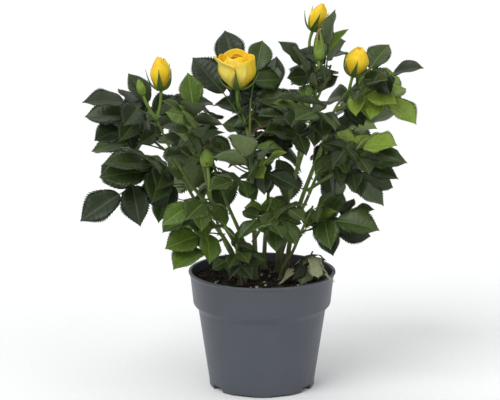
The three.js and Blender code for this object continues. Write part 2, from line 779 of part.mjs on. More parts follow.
// The nodes that a twig's leaves grow from. The stem is leafy all along and side twigs only
// toward their ends.
function twigNodes(curve, index) {
  const { first, last, count } = index ? twig.sideNodes : twig.stemNodes;
  const nodes = [];
  for (let i = 0; i < count; i += 1) {
    const t = first + ((last - first) * i) / (count - 1);
    nodes.push({ point: curve.getPoint(t), bare: true });
  }
  return nodes;
}

// The first whole leaf of several tries, or else the fullest of them. Each try names the node
// of the twig that it grows from, and a node carries one leaf.
function bestLeaf(mass, attempts, makeAttempt) {
  let best = null;
  for (let attempt = 0; attempt < attempts; attempt += 1) {
    const { node, tip, random } = makeAttempt(attempt);
    const grown = tryLeaf(node.point, tip, mass, random);
    if (grown && grown.share > (best ? best.share : leaf.leastShare)) best = { ...grown, node };
    if (best && best.share === 1) break;
  }
  if (!best) return;
  best.node.bare = false;
  mass.grown.push(best);
  mass.taken.push(...best.samples);
}

function seedFor(steps, mass, index, attempt) {
  return mass.seed * steps.mass + index * steps.leaf + attempt * steps.attempt;
}

// The leaves that reach furthest grow first.
function growAims(mass) {
  mass.aims.forEach((aim, index) => {
    const far = vector(aim);
    const offBy = (node) => Math.abs(node.point.distanceTo(far) - mass.reach);
    const free = mass.nodes.filter((node) => node.bare).sort((a, b) => offBy(a) - offBy(b));
    bestLeaf(mass, spray.aimTries, (attempt) => {
      const node = free[attempt % Math.min(spray.triesPerNode, free.length)];
      const random = makeRandom(seedFor(seedSteps.aim, mass, index, attempt));
      return { node, random, tip: node.point.clone().lerp(far, 1 - spray.aimShrink * attempt) };
    });
  });
}

function growSeeded(mass) {
  for (let index = 0; index < mass.leaves; index += 1) {
    const free = mass.nodes.filter((node) => node.bare);
    if (!free.length) return;
    const first = Math.floor(((index + 0.5) / mass.leaves) * free.length);
    bestLeaf(mass, spray.tries, (attempt) => {
      const node = free[(first + Math.floor(attempt / spray.triesPerNode)) % free.length];
      const random = makeRandom(seedFor(seedSteps.leaf, mass, index, attempt));
      const wander = spray.wander.least + spray.wander.more * attempt;
      const heading = mass.seed + index * goldenAngle + (random() - 0.5) * wander;
      const lift = (spray.lift.least + spray.lift.more * random()) * degree;
      const share = (spray.reach.least + spray.reach.more * random()) * (1 - spray.shrink * attempt);
      const length = mass.reach * share;
      const tip = node.point.clone();
      tip.x += length * Math.cos(lift) * Math.cos(heading);
      tip.y += length * Math.cos(lift) * Math.sin(heading);
      tip.z += length * Math.sin(lift);
      return { node, random, tip };
    });
  }
}

function stalkSolid(curve, from, to, radii, sides, steps) {
  const part = { getPoint: (t) => curve.getPoint(from + (to - from) * t) };
  return limbSolid(part, (t) => radii[0] + (radii[1] - radii[0]) * t, sides, steps);
}

function flowerStalk(mass, flower) {
  const top = vector(flower.base);
  const form = flowerForms[flower.name];
  const start = vector(mass.tip);
  const arrive = new THREE.Vector3(form.lean[0], form.lean[1], 1).normalize();
  const bend = top.clone().addScaledVector(arrive, flowerStalkPlan.ease * start.distanceTo(top));
  return new THREE.QuadraticBezierCurve3(start, bend, top);
}

function makeMass(mass) {
  const { sunk, sides, steps } = flowerStalkPlan;
  const solids = mass.twigCurves.map((curve, index) => {
    const radius = index ? twig.radius * twig.slimness : twig.radius;
    return stalkSolid(curve, 0, 1, [radius, twig.tipRadius], twig.sides, steps);
  });
  mass.flowers.forEach((flower) => {
    const curve = flowerStalk(mass, flower);
    solids.push(stalkSolid(curve, sunk, 1, [twig.radius, twig.tipRadius], sides, steps));
  });
  mass.grown.forEach((grown) => solids.push(leafSolid(grown)));
  return largestPiece(wasm.Manifold.union(solids).simplify(simplifyBy));
}

// Flowers.

// A surface of revolution's radius at height v of an egg, from its foot to its tip.
function eggRadius(v, fullness) {
  return Math.sin(Math.PI * Math.min(Math.max(v, 0), 1) ** fullness);
}

function petalSolid(petal) {
  const surface = (u, v) => {
    const rise = Math.min(Math.max(v, 0), 1);
    const bulge = Math.sin(Math.PI * (petalShape.from + petalShape.span * rise));
    const spread = petalShape.narrow + (1 - petalShape.narrow) * bulge;
    const angle = petal.angle + (u - 0.5) * petal.width * spread;
    const swell = Math.sin(Math.PI * 0.5 * Math.min(rise / petalShape.openBy, 1));
    const opening = petalShape.foot + (1 - petalShape.foot) * swell;
    const top = Math.max(rise - petalShape.openBy, 0) / (1 - petalShape.openBy);
    const radius = petal.radius * opening * (1 - petal.close * top ** 2);
    const height = petal.foot + petal.height * (v - petalShape.rounding * v * (2 * u - 1) ** 2);
    return new THREE.Vector3(radius * Math.cos(angle), radius * Math.sin(angle), height);
  };
  return shellSolid(surface, 2, 3, 1);
}

function sepalSolid(form, index) {
  const angle = (index / sepals.count) * 2 * Math.PI + sepals.first;
  const outward = new THREE.Vector3(Math.cos(angle), Math.sin(angle), 0);
  const lean = outward.clone().multiplyScalar(sepals.spread[form.kind]);
  const along = lean.add(new THREE.Vector3(0, 0, 1)).normalize();
  const across = new THREE.Vector3(-outward.y, outward.x, 0);
  return bladeSolid({
    root: outward.clone().multiplyScalar(form.width * sepals.root).setZ(sepals.rootHeight),
    along,
    across,
    normal: along.clone().cross(across),
    length: form.sepal,
    width: Math.max(form.sepal * sepals.width.share, sepals.width.least),
    sunk: sepals.sunk,
    fold: sepals.fold,
    droop: sepals.droop[form.kind],
  });
}

function makeFlower(name, base) {
  const form = flowerForms[name];
  const { core, fullness, petals } = flowerKinds[form.kind];
  const half = form.width / 2;
  const outline = [
    new THREE.Vector2(0, 0),
    new THREE.Vector2(twig.tipRadius + 0.2, 0),
    new THREE.Vector2(half * hip.radius, form.height * hip.height),
  ];
  for (let i = 1; i < hip.rings; i += 1) {
    const v = hip.shoulder + ((1 - hip.shoulder) * i) / hip.rings;
    outline.push(new THREE.Vector2(half * core * eggRadius(v, fullness), form.height * v));
  }
  outline.push(new THREE.Vector2(0, form.height));
  const egg = new THREE.LatheGeometry(outline, hip.sides);
  egg.rotateX(Math.PI / 2);
  const solids = [toSolid(egg)];
  for (let i = 0; petals && i < petals.count; i += 1) {
    solids.push(petalSolid({
      angle: i * petals.step + petalShape.first,
      width: petals.width,
      radius: half * petals.radius,
      close: petals.close,
      height: form.height * petals.height,
      foot: form.height * petalShape.base,
    }));
  }
  for (let i = 0; i < sepals.count; i += 1) solids.push(sepalSolid(form, i));
  const joined = largestPiece(wasm.Manifold.union(solids).simplify(simplifyBy));
  const axis = new THREE.Vector3(form.lean[0], form.lean[1], 1).normalize();
  const turn = new THREE.Quaternion().setFromUnitVectors(new THREE.Vector3(0, 0, 1), axis);
  const place = vector(base).addScaledVector(axis, seatGap);
  const matrix = new THREE.Matrix4().compose(place, turn, new THREE.Vector3(1, 1, 1));
  return joined.transform(matrix.elements);
}

// The dead shoot: a short crooked twig and curled blades that hang from it on all sides.

function witheredCurve() {
  const foot = new THREE.Vector3(withered.foot[0], withered.foot[1], limbFoot);
  const tip = vector(withered.tip);
  const rise = new THREE.Vector3(0, 0, withered.stalk.rise);
  return new THREE.QuadraticBezierCurve3(foot, foot.clone().add(rise), tip);
}

function witheredBlades() {
  const curve = witheredCurve();
  const random = makeRandom(withered.leaves * seedSteps.withered);
  const blades = [];
  const { headings, roots, lengths } = withered;
  for (let i = 0; i < withered.leaves; i += 1) {
    const turned = ((headings.last - headings.first) * i) / (withered.leaves - 1);
    const heading = (headings.first + turned) * degree;
    const share = (i * goldenShare) % 1;
    const level = new THREE.Vector3(Math.cos(heading), Math.sin(heading), 0);
    const along = level.setZ(-withered.fall * random()).normalize();
    const across = new THREE.Vector3(-Math.sin(heading), Math.cos(heading), 0);
    blades.push({
      root: curve.getPoint(roots.first + (roots.last - roots.first) * share),
      along,
      across,
      normal: along.clone().cross(across),
      length: withered.length * (lengths.least + lengths.more * random()),
      width: withered.width,
      sunk: withered.sunk,
      fold: withered.curl * random(),
      droop: withered.droop,
    });
  }
  return blades;
}

function makeWithered() {
  const { taper, steps } = withered.stalk;
  const solids = [limbSolid(witheredCurve(), (t) => twig.radius - taper * t, twig.sides, steps, true)];
  witheredBlades().forEach((blade) => solids.push(bladeSolid(blade)));
  return largestPiece(wasm.Manifold.union(solids).simplify(simplifyBy));
}

// Twigs and flower stalks come first, as every mass keeps its leaves off the others' twigs.
function prepareMasses() {
  limbs.forEach((limb) => {
    obstacles.stations.push(...stationsAlong(limbCurve(limb), (t) => limbRadius(limb, t), null));
  });
  obstacles.points.push(...witheredBlades().flatMap(leafletSamples));
  masses.forEach((mass) => {
    mass.grown = [];
    mass.taken = [];
    mass.twigCurves = growTwigs(mass);
    mass.nodes = mass.twigCurves.flatMap(twigNodes);
    const stalks = mass.flowers.map((flower) => flowerStalk(mass, flower));
    [...mass.twigCurves, ...stalks].forEach((curve) => {
      obstacles.stations.push(...stationsAlong(curve, () => twig.radius, mass));
    });
    obstacles.rooms.push(...mass.flowers.flatMap(flowerRooms));
  });
}

// Assembly.

addPart('pot', makePot(), colours.pot, rough.pot);
addPart('soil', makeSoil(), colours.soil, rough.soil);
limbs.forEach((limb) => {
  const steps = limb.from ? stem.steps.bough : stem.steps.cane;
  const radius = (t) => limbRadius(limb, t);
  const solid = limbSolid(limbCurve(limb), radius, stem.sides, steps, !limb.from);
  addPart(limb.name, solid, colours.cane, rough.cane);
});

prepareMasses();
masses.forEach((mass) => {
  growAims(mass);
  growSeeded(mass);
});
masses.forEach((mass) => addPart(`foliage_${mass.name}`, makeMass(mass), colours.leaf, rough.leaf));
addPart('withered_leaves', makeWithered(), colours.withered, rough.withered);
masses.forEach((mass) => mass.flowers.forEach(({ name, base }) => {
  const yellow = flowerForms[name].kind !== 'green';
  addPart(name, makeFlower(name, base), yellow ? colours.petal : colours.bud, rough.flower);
}));

export default plant;
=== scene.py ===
# A miniature rose bush in a nursery pot: pot, soil, canes, twigs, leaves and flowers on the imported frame.
import math
import bpy
import numpy as np
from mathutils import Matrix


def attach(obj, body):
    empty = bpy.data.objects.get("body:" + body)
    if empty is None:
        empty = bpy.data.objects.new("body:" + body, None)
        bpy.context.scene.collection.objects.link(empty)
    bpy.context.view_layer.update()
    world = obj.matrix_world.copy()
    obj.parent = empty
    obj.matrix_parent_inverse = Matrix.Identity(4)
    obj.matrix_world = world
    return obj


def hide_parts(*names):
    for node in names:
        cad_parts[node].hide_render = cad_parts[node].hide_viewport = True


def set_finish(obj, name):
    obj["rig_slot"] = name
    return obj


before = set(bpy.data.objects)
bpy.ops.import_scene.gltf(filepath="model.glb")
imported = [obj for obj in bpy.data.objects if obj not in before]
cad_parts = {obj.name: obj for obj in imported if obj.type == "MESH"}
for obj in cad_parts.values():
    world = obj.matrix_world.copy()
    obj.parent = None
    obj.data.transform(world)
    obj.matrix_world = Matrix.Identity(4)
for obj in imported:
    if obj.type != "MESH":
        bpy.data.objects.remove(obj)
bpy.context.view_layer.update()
mm = 0.001  # everything below is worked out in millimetres
turn = 2 * math.pi
degree = math.pi / 180
goldenAngle = 137.5 * degree
goldenShare = 0.618
generator = {"by": 1664525, "plus": 1013904223, "span": 4294967296}


# Small vector helpers

def vec(*numbers):
    return np.array(numbers, float)


def unit(v):
    return v / math.sqrt(v @ v)


def cross(a, b):
    return vec(a[1] * b[2] - a[2] * b[1], a[2] * b[0] - a[0] * b[2], a[0] * b[1] - a[1] * b[0])


def distance(a, b):
    return math.sqrt((a - b) @ (a - b))


def smoothStep(low, high, x):
    t = np.clip((np.asarray(x, float) - low) / (high - low), 0, 1)
    return t * t * (3 - 2 * t)


def makeRandom(seed):
    state = [seed % generator["span"]]

    def draw():
        state[0] = (state[0] * generator["by"] + generator["plus"]) % generator["span"]
        return state[0] / generator["span"]
    return draw


def between(span, random):
    # span is the least value, and how much more it may be
    return span[0] + span[1] * random()


def onLevel(angle, rise=0):
    return vec(math.cos(angle), math.sin(angle), rise)


def sideways(angle):
    return vec(-math.sin(angle), math.cos(angle), 0)


def pointing(heading, lift):
    return vec(math.cos(lift) * math.cos(heading), math.cos(lift) * math.sin(heading), math.sin(lift))


def up(height):
    return vec(0, 0, height)


class Bezier:
    def __init__(self, *points):
        self.points = [np.asarray(point, float) for point in points]

    def at(self, t):
        s = 1 - t
        if len(self.points) == 3:
            a, b, c = self.points
            return s * s * a + 2 * s * t * b + t * t * c
        a, b, c, d = self.points
        return s ** 3 * a + 3 * s * s * t * b + 3 * s * t * t * c + t ** 3 * d

    def slope(self, t):
        step = 0.01
        return unit(self.at(min(t + step, 1)) - self.at(max(t - step, 0)))

    def length(self, steps=12):
        stations = [self.at(i / steps) for i in range(steps + 1)]
        return sum(distance(a, b) for a, b in zip(stations, stations[1:]))


# Meshes: a Heap joins many small shapes into one piece, and a look is the material of some faces

class Heap:
    def __init__(self):
        self.points = []
        self.faces = []
        self.looks = []
        self.count = 0

    def add(self, points, faces, look=0):
        points = np.asarray(points, float).reshape(-1, 3)
        faces = np.asarray(faces, int)
        self.points.append(points)
        self.faces.append(faces + self.count)
        self.looks.append(np.broadcast_to(np.asarray(look, int), (len(faces),)))
        self.count += len(points)

    def piece(self, name, finishes, slot, nodes=(), smooth=True):
        mesh = bpy.data.meshes.new(name)
        totals = np.concatenate([np.full(len(f), f.shape[1]) for f in self.faces])
        corners = np.concatenate([f.ravel() for f in self.faces])
        starts = np.concatenate([[0], np.cumsum(totals)[:-1]])
        mesh.vertices.add(self.count)
        mesh.vertices.foreach_set("co", (np.concatenate(self.points) * mm).astype(np.float32).ravel())
        mesh.loops.add(len(corners))
        mesh.loops.foreach_set("vertex_index", corners.astype(np.int32))
        mesh.polygons.add(len(totals))
        mesh.polygons.foreach_set("loop_start", starts.astype(np.int32))
        mesh.polygons.foreach_set("loop_total", totals.astype(np.int32))
        for finish in finishes:
            mesh.materials.append(finish.material)
        mesh.polygons.foreach_set("material_index", np.concatenate(self.looks).astype(np.int32))
        mesh.polygons.foreach_set("use_smooth", np.full(len(totals), smooth))
        mesh.update(calc_edges=True)
        mesh.validate()
        piece = bpy.data.objects.new(name, mesh)
        bpy.context.scene.collection.objects.link(piece)
        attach(piece, "root")
        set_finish(piece, slot)
        if nodes:
            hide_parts(*nodes)
        return piece


def gridFaces(rows, columns, wrap=False, flip=False):
    faces = []
    for i in range(rows - 1):
        for j in range(columns if wrap else columns - 1):
            a = i * columns + j
            b = i * columns + (j + 1) % columns
            quad = (a, b, b + columns, a + columns)
            faces.append(quad[::-1] if flip else quad)
    return np.array(faces)


def sweep(heap, curve, radiusAt, sides, steps, look=0):
    # a closed tube along a curve; radiusAt(t, angle) may vary round the tube
    nearlyAlong = 0.95
    angles = turn * np.arange(sides) / sides
    side = vec(0, 1, 0)
    rings = []
    for i in range(steps + 1):
        t = i / steps
        along = curve.slope(t)
        if abs(side @ along) > nearlyAlong:
            side = vec(1, 0, 0)
        side = unit(side - along * (side @ along))
        other = cross(along, side)
        radius = np.array([radiusAt(t, angle) for angle in angles])[:, None]
        rings.append(curve.at(t) + radius * (np.cos(angles)[:, None] * side + np.sin(angles)[:, None] * other))
    heap.add(np.concatenate(rings), gridFaces(steps + 1, sides, wrap=True), look)
    for ring, order in ((rings[0], -1), (rings[-1], 1)):
        fan = [(0, 1 + j, 1 + (j + 1) % sides)[::order] for j in range(sides)]
        heap.add(np.vstack([ring.mean(0), ring]), fan, look)


# Shader maths: a Value wraps a node's socket, and operators on it add the nodes

class Value:
    def __init__(self, finish, socket):
        self.finish = finish
        self.socket = socket

    def math(self, operation, *others):
        return self.finish.node("ShaderNodeMath", {"operation": operation}, others)

    def __add__(self, other):
        return self.math("ADD", self, other)

    def __radd__(self, other):
        return self.math("ADD", other, self)

    def __sub__(self, other):
        return self.math("SUBTRACT", self, other)

    def __rsub__(self, other):
        return self.math("SUBTRACT", other, self)

    def __mul__(self, other):
        return self.math("MULTIPLY", self, other)

    def __rmul__(self, other):
        return self.math("MULTIPLY", other, self)

    def __truediv__(self, other):
        return self.math("DIVIDE", self, other)

    def __pow__(self, other):
        return self.math("POWER", self, other)


class Finish:
    def __init__(self, name, constants):
        self.material = bpy.data.materials.new(name)
        self.material.use_nodes = True
        self.tree = self.material.node_tree
        self.shader = self.tree.nodes["Principled BSDF"]
        for socket, setting in constants.items():
            self.shader.inputs[socket].default_value = setting

    def node(self, kind, settings=None, inputs=(), output=0):
        made = self.tree.nodes.new(kind)
        for key, setting in (settings or {}).items():
            if key == "stops":
                ramp = made.color_ramp
                while len(ramp.elements) < len(setting):
                    ramp.elements.new(0.5)
                for element, (position, colour) in zip(ramp.elements, setting):
                    element.position = position
                    element.color = colour
            else:
                setattr(made, key, setting)
        pairs = inputs.items() if isinstance(inputs, dict) else enumerate(inputs)
        for key, given in pairs:
            if isinstance(given, Value):
                self.tree.links.new(given.socket, made.inputs[key])
            else:
                made.inputs[key].default_value = given
        return Value(self, made.outputs[output])

    def place(self):
        return self.node("ShaderNodeTexCoord", output="Object")

    def noise(self, scale, detail=3, roughness=0.55, place=None, stretch=None):
        where = place or self.place()
        if stretch:
            where = self.node("ShaderNodeVectorMath", {"operation": "MULTIPLY"}, [where, stretch])
        inputs = {"Vector": where, "Scale": scale, "Detail": detail, "Roughness": roughness}
        return self.node("ShaderNodeTexNoise", inputs=inputs)

    def ramp(self, value, *stops):
        return self.node("ShaderNodeValToRGB", {"stops": stops}, [value])

    def blend(self, mask, first, second, kind="MIX"):
        # the colour sockets of a Mix node go by number, because their names repeat
        settings = {"data_type": "RGBA", "blend_type": kind}
        return self.node("ShaderNodeMix", settings, {0: mask, 6: first, 7: second}, output=2)

    def bump(self, height, strength, depth):
        inputs = {"Strength": strength, "Distance": depth, "Height": height}
        self.feed("Normal", self.node("ShaderNodeBump", inputs=inputs))

    def feed(self, socket, value):
        self.tree.links.new(value.socket, self.shader.inputs[socket])

    def tint(self, value, *stops):
        # base colour over a value, from colours as screens number them
        self.feed("Base Color", self.ramp(value, *((place, paint(*colour)) for place, colour in stops)))


def paint(red, green, blue):
    # a colour as screens number it, to the linear colour that shaders use
    def straight(c):
        c = c / 255
        return c / 12.92 if c <= 0.04045 else ((c + 0.055) / 1.055) ** 2.4
    return (straight(red), straight(green), straight(blue), 1)


# Camera, floor and lights

view = {  # place in metres, tilt in degrees, lens in millimetres
    "from": (-0.0106, -2.0, 0.62), "down": 12.75, "lens": 168.05, "sensor": 36, "farEnd": 20,
    "colours": "Standard",
}
studio = {
    "paper": (250, 250, 249), "fleck": (246, 246, 245), "fleckScale": 240, "roughness": 0.9, "floorHalf": 6000,
    "world": (244, 247, 252), "worldStrength": 0.34,
    "lights": [  # name, the side it shines from, softness in degrees, strength
        ("key", (-0.8, -1.0, 1.3), 40, 1.65),
        ("fill", (1.1, -0.9, 0.9), 60, 0.6),
        ("top", (0, 0.3, 1), 70, 0.9),
        ("rim", (-0.5, 1, 0.6), 60, 0.4),
    ],
}


def makeStudio():
    data = bpy.data.cameras.new("camera")
    data.sensor_width = view["sensor"]
    data.lens = view["lens"]
    data.clip_end = view["farEnd"]
    camera = bpy.data.objects.new("camera", data)
    camera.location = view["from"]
    camera.rotation_euler = (math.radians(90 - view["down"]), 0, 0)
    bpy.context.scene.collection.objects.link(camera)
    bpy.context.scene.camera = camera
    bpy.context.scene.view_settings.view_transform = view["colours"]
    for name, side, softness, strength in studio["lights"]:
        light = bpy.data.lights.new(name, "SUN")
        light.angle = softness * degree
        light.energy = strength
        lamp = bpy.data.objects.new(name, light)
        away = unit(vec(*side))
        lamp.rotation_euler = (math.acos(away[2]), 0, math.atan2(away[0], -away[1]))
        bpy.context.scene.collection.objects.link(lamp)
    world = bpy.data.worlds.new("studio")
    world.use_nodes = True
    sky = world.node_tree.nodes["Background"]
    sky.inputs["Color"].default_value = paint(*studio["world"])
    sky.inputs["Strength"].default_value = studio["worldStrength"]
    bpy.context.scene.world = world
    matt = Finish("floorPaper", {"Roughness": studio["roughness"]})
    matt.tint(matt.noise(studio["fleckScale"]), (0.3, studio["fleck"]), (0.7, studio["paper"]))
    floor = Heap()
    half = studio["floorHalf"]
    floor.add([(-half, -half, 0), (half, -half, 0), (half, half, 0), (-half, half, 0)], [(0, 1, 2, 3)])
    sheet = floor.piece("floor", [matt], "pot_plastic")
    del sheet["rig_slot"]


makeStudio()
print("studio made")


# The plant's plan, as its solids have it

seatGap = 0.3
pot = {
    "height": 104, "heelRadius": 46.5, "bodyTop": (56.4, 70), "collar": (60.8, 75), "rim": (63.6, 101),
    "lip": (65, 102.4), "wall": 1.5, "floor": 5,
    "drain": {"angles": (57, 123, 237, 303), "width": 14, "height": 3.5, "depth": 9},
    "relief": {"angles": (21, 159, 201, 339), "width": 18, "height": 1.2, "depth": 3},
}
soil = {"top": 99, "edge": 96.5, "flatRadius": 47}
limbFoot = soil["top"] + seatGap
stem = {"flare": 1.5, "flareHeight": 5, "upright": 0.4, "bow": 0.7, "boughBends": (0.33, 0.67)}
twig = {
    "radius": 1.5, "tipRadius": 1.1, "bend": 0.45, "slimness": 0.85,
    "stemNodes": (0.18, 0.96, 10), "sideNodes": (0.5, 0.96, 4), "forks": (0.3, 0.4),
    "length": 0.55, "spread": 26, "lift": 14, "sag": 3,
}
stalk = {"testFrom": 0.3, "testStep": 0.12}
leaf = {
    "thickness": 0.9, "arch": (0.14, 0.18), "steep": 0.12, "facing": 0.75, "roll": 0.6,
    "share": 0.56, "least": 20, "most": 44,
    "pairs": ((0.3, 70, 0.86), (0.78, 70, 0.66)),
    "widest": (0.27, 0.63, 0.41, 0.42), "rimFall": 0.3, "tiltRange": 0.3, "tiltDown": 0.6,
    "length": (0.94, 0.1), "width": (0.66, 0.14), "fold": (0.06, 0.1), "droop": (0.05, 0.12),
    "bareStalk": 5, "leastShare": 0.5,
}
spray = {
    "aimTries": 24, "tries": 64, "triesPerNode": 4, "wander": (0.5, 0.2), "lift": (-35, 75),
    "reach": (0.85, 0.3), "aimShrink": 0.01, "shrink": 0.006,
}
sampleRows = {"forward": (0.15, 0.3, 0.45, 0.6, 0.8), "sideways": (-1, -0.5, 0, 0.5, 1), "lead": 0.8}
clearance = {
    "space": 1.2, "limb": 4.2, "flower": 3, "leaf": 3.2, "rim": 4, "soil": 3, "finerSpace": 0.92,
    "nearShare": 1.1, "nearMargin": 12,
}
roomShares = (0.1, 0.3, 0.5, 0.7, 0.9)  # a flower keeps round spaces clear at these shares of its height
stationSteps = 30
seedSteps = {  # how far apart the seeds of masses, leaves and tries are
    "cane": 911, "twig": 7919, "aim": (104729, 7907, 613), "leaf": (15485, 3571, 911), "shoot": 4243,
    "small": (27449, 1201, 389), "withered": 6007, "blade": 50021, "prickle": 3343,
}

# The canes that rise from the soil, and the boughs that leave them part of the way up
limbs = {
    "cane_left": {"foot": (-17, 2), "tip": (-70, -2, 194), "radius": (2.2, 1.5)},
    "cane_left_low": {"foot": (-21, -9), "tip": (-62, -12, 176), "radius": (2.0, 1.4)},
    "cane_front_left": {"foot": (-16, -20), "tip": (-30, -26, 130), "radius": (2.0, 1.4)},
    "cane_centre": {"foot": (-6, -14), "tip": (-10, -12, 208), "radius": (2.4, 1.6)},
    "cane_sprout": {"foot": (-19, -33), "tip": (-21, -33, 112), "radius": (1.5, 1.2)},
    "cane_top": {"foot": (14, 10), "tip": (44, 9, 240), "radius": (2.4, 1.6)},
    "cane_right": {"foot": (22, -2), "tip": (60, 4, 238), "radius": (2.3, 1.5)},
    "cane_right_low": {"foot": (17, -13), "tip": (28, -18, 128), "radius": (1.8, 1.3)},
    "cane_back_left": {"foot": (-12, 19), "tip": (-34, 36, 164), "radius": (2.1, 1.4)},
    "cane_back": {"foot": (2, 23), "tip": (6, 40, 168), "radius": (2.1, 1.4)},
    "cane_back_right": {"foot": (16, 25), "tip": (42, 36, 164), "radius": (2.1, 1.4)},
    "bough_front_low": {"from": "cane_centre", "at": 0.3, "tip": (-2, -32, 148), "radius": (1.5, 1.3)},
    "bough_front": {"from": "cane_centre", "at": 0.62, "tip": (-9, -34, 186), "radius": (1.5, 1.3)},
    "bough_left_mid": {"from": "cane_left_low", "at": 0.55, "tip": (-50, -16, 196), "radius": (1.5, 1.3)},
    "bough_right_front": {"from": "cane_top", "at": 0.62, "tip": (33, -20, 222), "radius": (1.5, 1.3)},
    "bough_right_mid": {"from": "cane_right", "at": 0.5, "tip": (58, -16, 192), "radius": (1.5, 1.3)},
}

flowerForms = {
    "bloom_left": {"kind": "bud", "width": 18, "height": 31, "lean": (-0.02, 0), "sepal": 19},
    "bloom_centre": {"kind": "cup", "width": 34, "height": 31, "lean": (0, -0.05), "sepal": 20},
    "bloom_top": {"kind": "bud", "width": 16, "height": 27, "lean": (0.4, 0), "sepal": 17},
    "bloom_right": {"kind": "bud", "width": 21, "height": 28, "lean": (0.28, 0), "sepal": 17},
    "bud_left": {"kind": "green", "width": 8, "height": 15, "lean": (-0.3, -0.1), "sepal": 10},
    "bud_front": {"kind": "green", "width": 13, "height": 16, "lean": (-0.1, 0), "sepal": 8},
    "bud_top": {"kind": "green", "width": 10, "height": 30, "lean": (0, 0), "sepal": 9},
}

# The masses of foliage: each keeps inside an ellipsoid of its own, and its longest leaves reach the aims
masses = [
    {
        "name": "sprout", "limb": "cane_sprout", "tip": (-22, -34, 138), "leaves": 6,
        "reach": 40, "centre": (-20, -42, 126), "size": (38, 34, 34),
        "aims": [(-12, -60, 121), (-28, -60, 116)],
    },
    {
        "name": "left", "limb": "cane_left", "tip": (-92, 0, 240), "leaves": 7, "twigs": 1,
        "reach": 79, "centre": (-118, 8, 238), "size": (58, 52, 44),
        "aims": [(-165, 0, 242), (-154, 12, 204), (-124, -30, 236)],
        "flowers": [("bloom_left", (-88, 0, 264)), ("bud_left", (-103, -8, 262))],
    },
    {
        "name": "left_low", "limb": "cane_left_low", "tip": (-80, -17, 208), "leaves": 7,
        "reach": 84, "centre": (-118, -30, 176), "size": (66, 54, 56),
        "aims": [(-160, -34, 148), (-142, -46, 186), (-127, -28, 170)],
    },
    {
        "name": "left_mid", "limb": "bough_left_mid", "tip": (-58, -18, 232), "leaves": 7,
        "reach": 66, "centre": (-62, -28, 242), "size": (40, 48, 54),
        "aims": [(-66, -10, 288), (-72, -42, 250), (-84, -52, 214)],
    },
    {
        "name": "front_left", "limb": "cane_front_left", "tip": (-45, -38, 184), "leaves": 9,
        "reach": 73, "centre": (-62, -56, 148), "size": (50, 48, 52),
        "aims": [(-90, -42, 121), (-78, -78, 118), (-97, -40, 157), (-42, -70, 156), (-30, -52, 150)],
        "flowers": [("bud_front", (-47, -38, 205))],
    },
    {
        "name": "front_low", "limb": "bough_front_low", "tip": (8, -40, 178), "leaves": 9,
        "reach": 62, "centre": (10, -52, 156), "size": (46, 46, 42),
        "aims": [(-26, -60, 138), (30, -64, 136)],
    },
    {
        "name": "front", "limb": "bough_front", "tip": (-10, -46, 216), "leaves": 8,
        "reach": 70, "centre": (-4, -64, 200), "size": (50, 50, 54),
        "aims": [(-46, -74, 186), (24, -66, 222), (32, -56, 186)],
    },
    {
        "name": "centre", "limb": "cane_centre", "tip": (-18, 6, 246), "leaves": 11, "twigs": 1,
        "reach": 73, "centre": (-16, 16, 272), "size": (56, 56, 52),
        "aims": [(-60, 16, 286), (-34, 30, 310), (4, 28, 315), (-14, 26, 302)],
        "flowers": [("bloom_centre", (-21.9, -15, 268))],
    },
    {
        "name": "right_front", "limb": "bough_right_front", "tip": (36, -36, 256), "leaves": 7,
        "reach": 66, "centre": (32, -56, 248), "size": (48, 48, 42),
        "aims": [(0, -62, 234), (62, -64, 234)],
    },
    {
        "name": "top", "limb": "cane_top", "tip": (47, 10, 282), "leaves": 10, "twigs": 1,
        "reach": 68, "centre": (46, 16, 296), "size": (56, 54, 50),
        "aims": [(62, -3, 341), (80, 16, 324), (12, 12, 310), (26, -16, 300), (84, 28, 318)],
        "flowers": [("bloom_top", (43.5, 20, 313)), ("bud_top", (48.6, -12, 293))],
    },
    {
        "name": "right", "limb": "cane_right", "tip": (76, 2, 266), "leaves": 10, "twigs": 1,
        "reach": 70, "centre": (106, 4, 278), "size": (54, 54, 62),
        "aims": [(137, -28, 234), (138, 6, 232), (127, 0, 271), (104, 22, 310)],
        "flowers": [("bloom_right", (78, -4, 277))],
    },
    {
        "name": "right_mid", "limb": "bough_right_mid", "tip": (78, -26, 224), "leaves": 8,
        "reach": 68, "centre": (88, -38, 204), "size": (50, 50, 46),
        "aims": [(118, -40, 193), (60, -56, 206), (44, -44, 196)],
    },
    {
        "name": "right_low", "limb": "cane_right_low", "tip": (44, -26, 168), "leaves": 7,
        "reach": 66, "centre": (68, -34, 158), "size": (50, 46, 40),
        "aims": [(30, -60, 158), (102, -15, 124)],
    },
    {
        "name": "back_left", "limb": "cane_back_left", "tip": (-62, 60, 236), "leaves": 13, "twigs": 2,
        "reach": 79, "centre": (-58, 58, 196), "size": (66, 58, 82), "faces": 1,
        "aims": [(-118, 70, 226), (-70, 116, 204), (-64, 34, 160), (-30, 26, 136)],
    },
    {
        "name": "back", "limb": "cane_back", "tip": (8, 62, 254), "leaves": 13, "twigs": 2,
        "reach": 79, "centre": (8, 62, 208), "size": (60, 60, 90), "faces": 1,
        "aims": [(4, 118, 204), (10, 70, 294), (-16, 26, 150), (28, 24, 150), (4, 40, 124)],
    },
    {
        "name": "back_right", "limb": "cane_back_right", "tip": (76, 58, 236), "leaves": 13, "twigs": 2,
        "reach": 79, "centre": (74, 58, 196), "size": (64, 58, 82), "faces": 1,
        "aims": [(130, 62, 232), (84, 116, 200), (80, 26, 160), (52, 24, 136)],
    },
]
usual = {"twigs": 0, "faces": -1, "flowers": ()}
plantSeed = 30
masses = [{**usual, **mass, "seed": plantSeed + number} for number, mass in enumerate(masses)]
foliage = ["foliage_" + mass["name"] for mass in masses]


# The growth rule, the same as the solids grow by

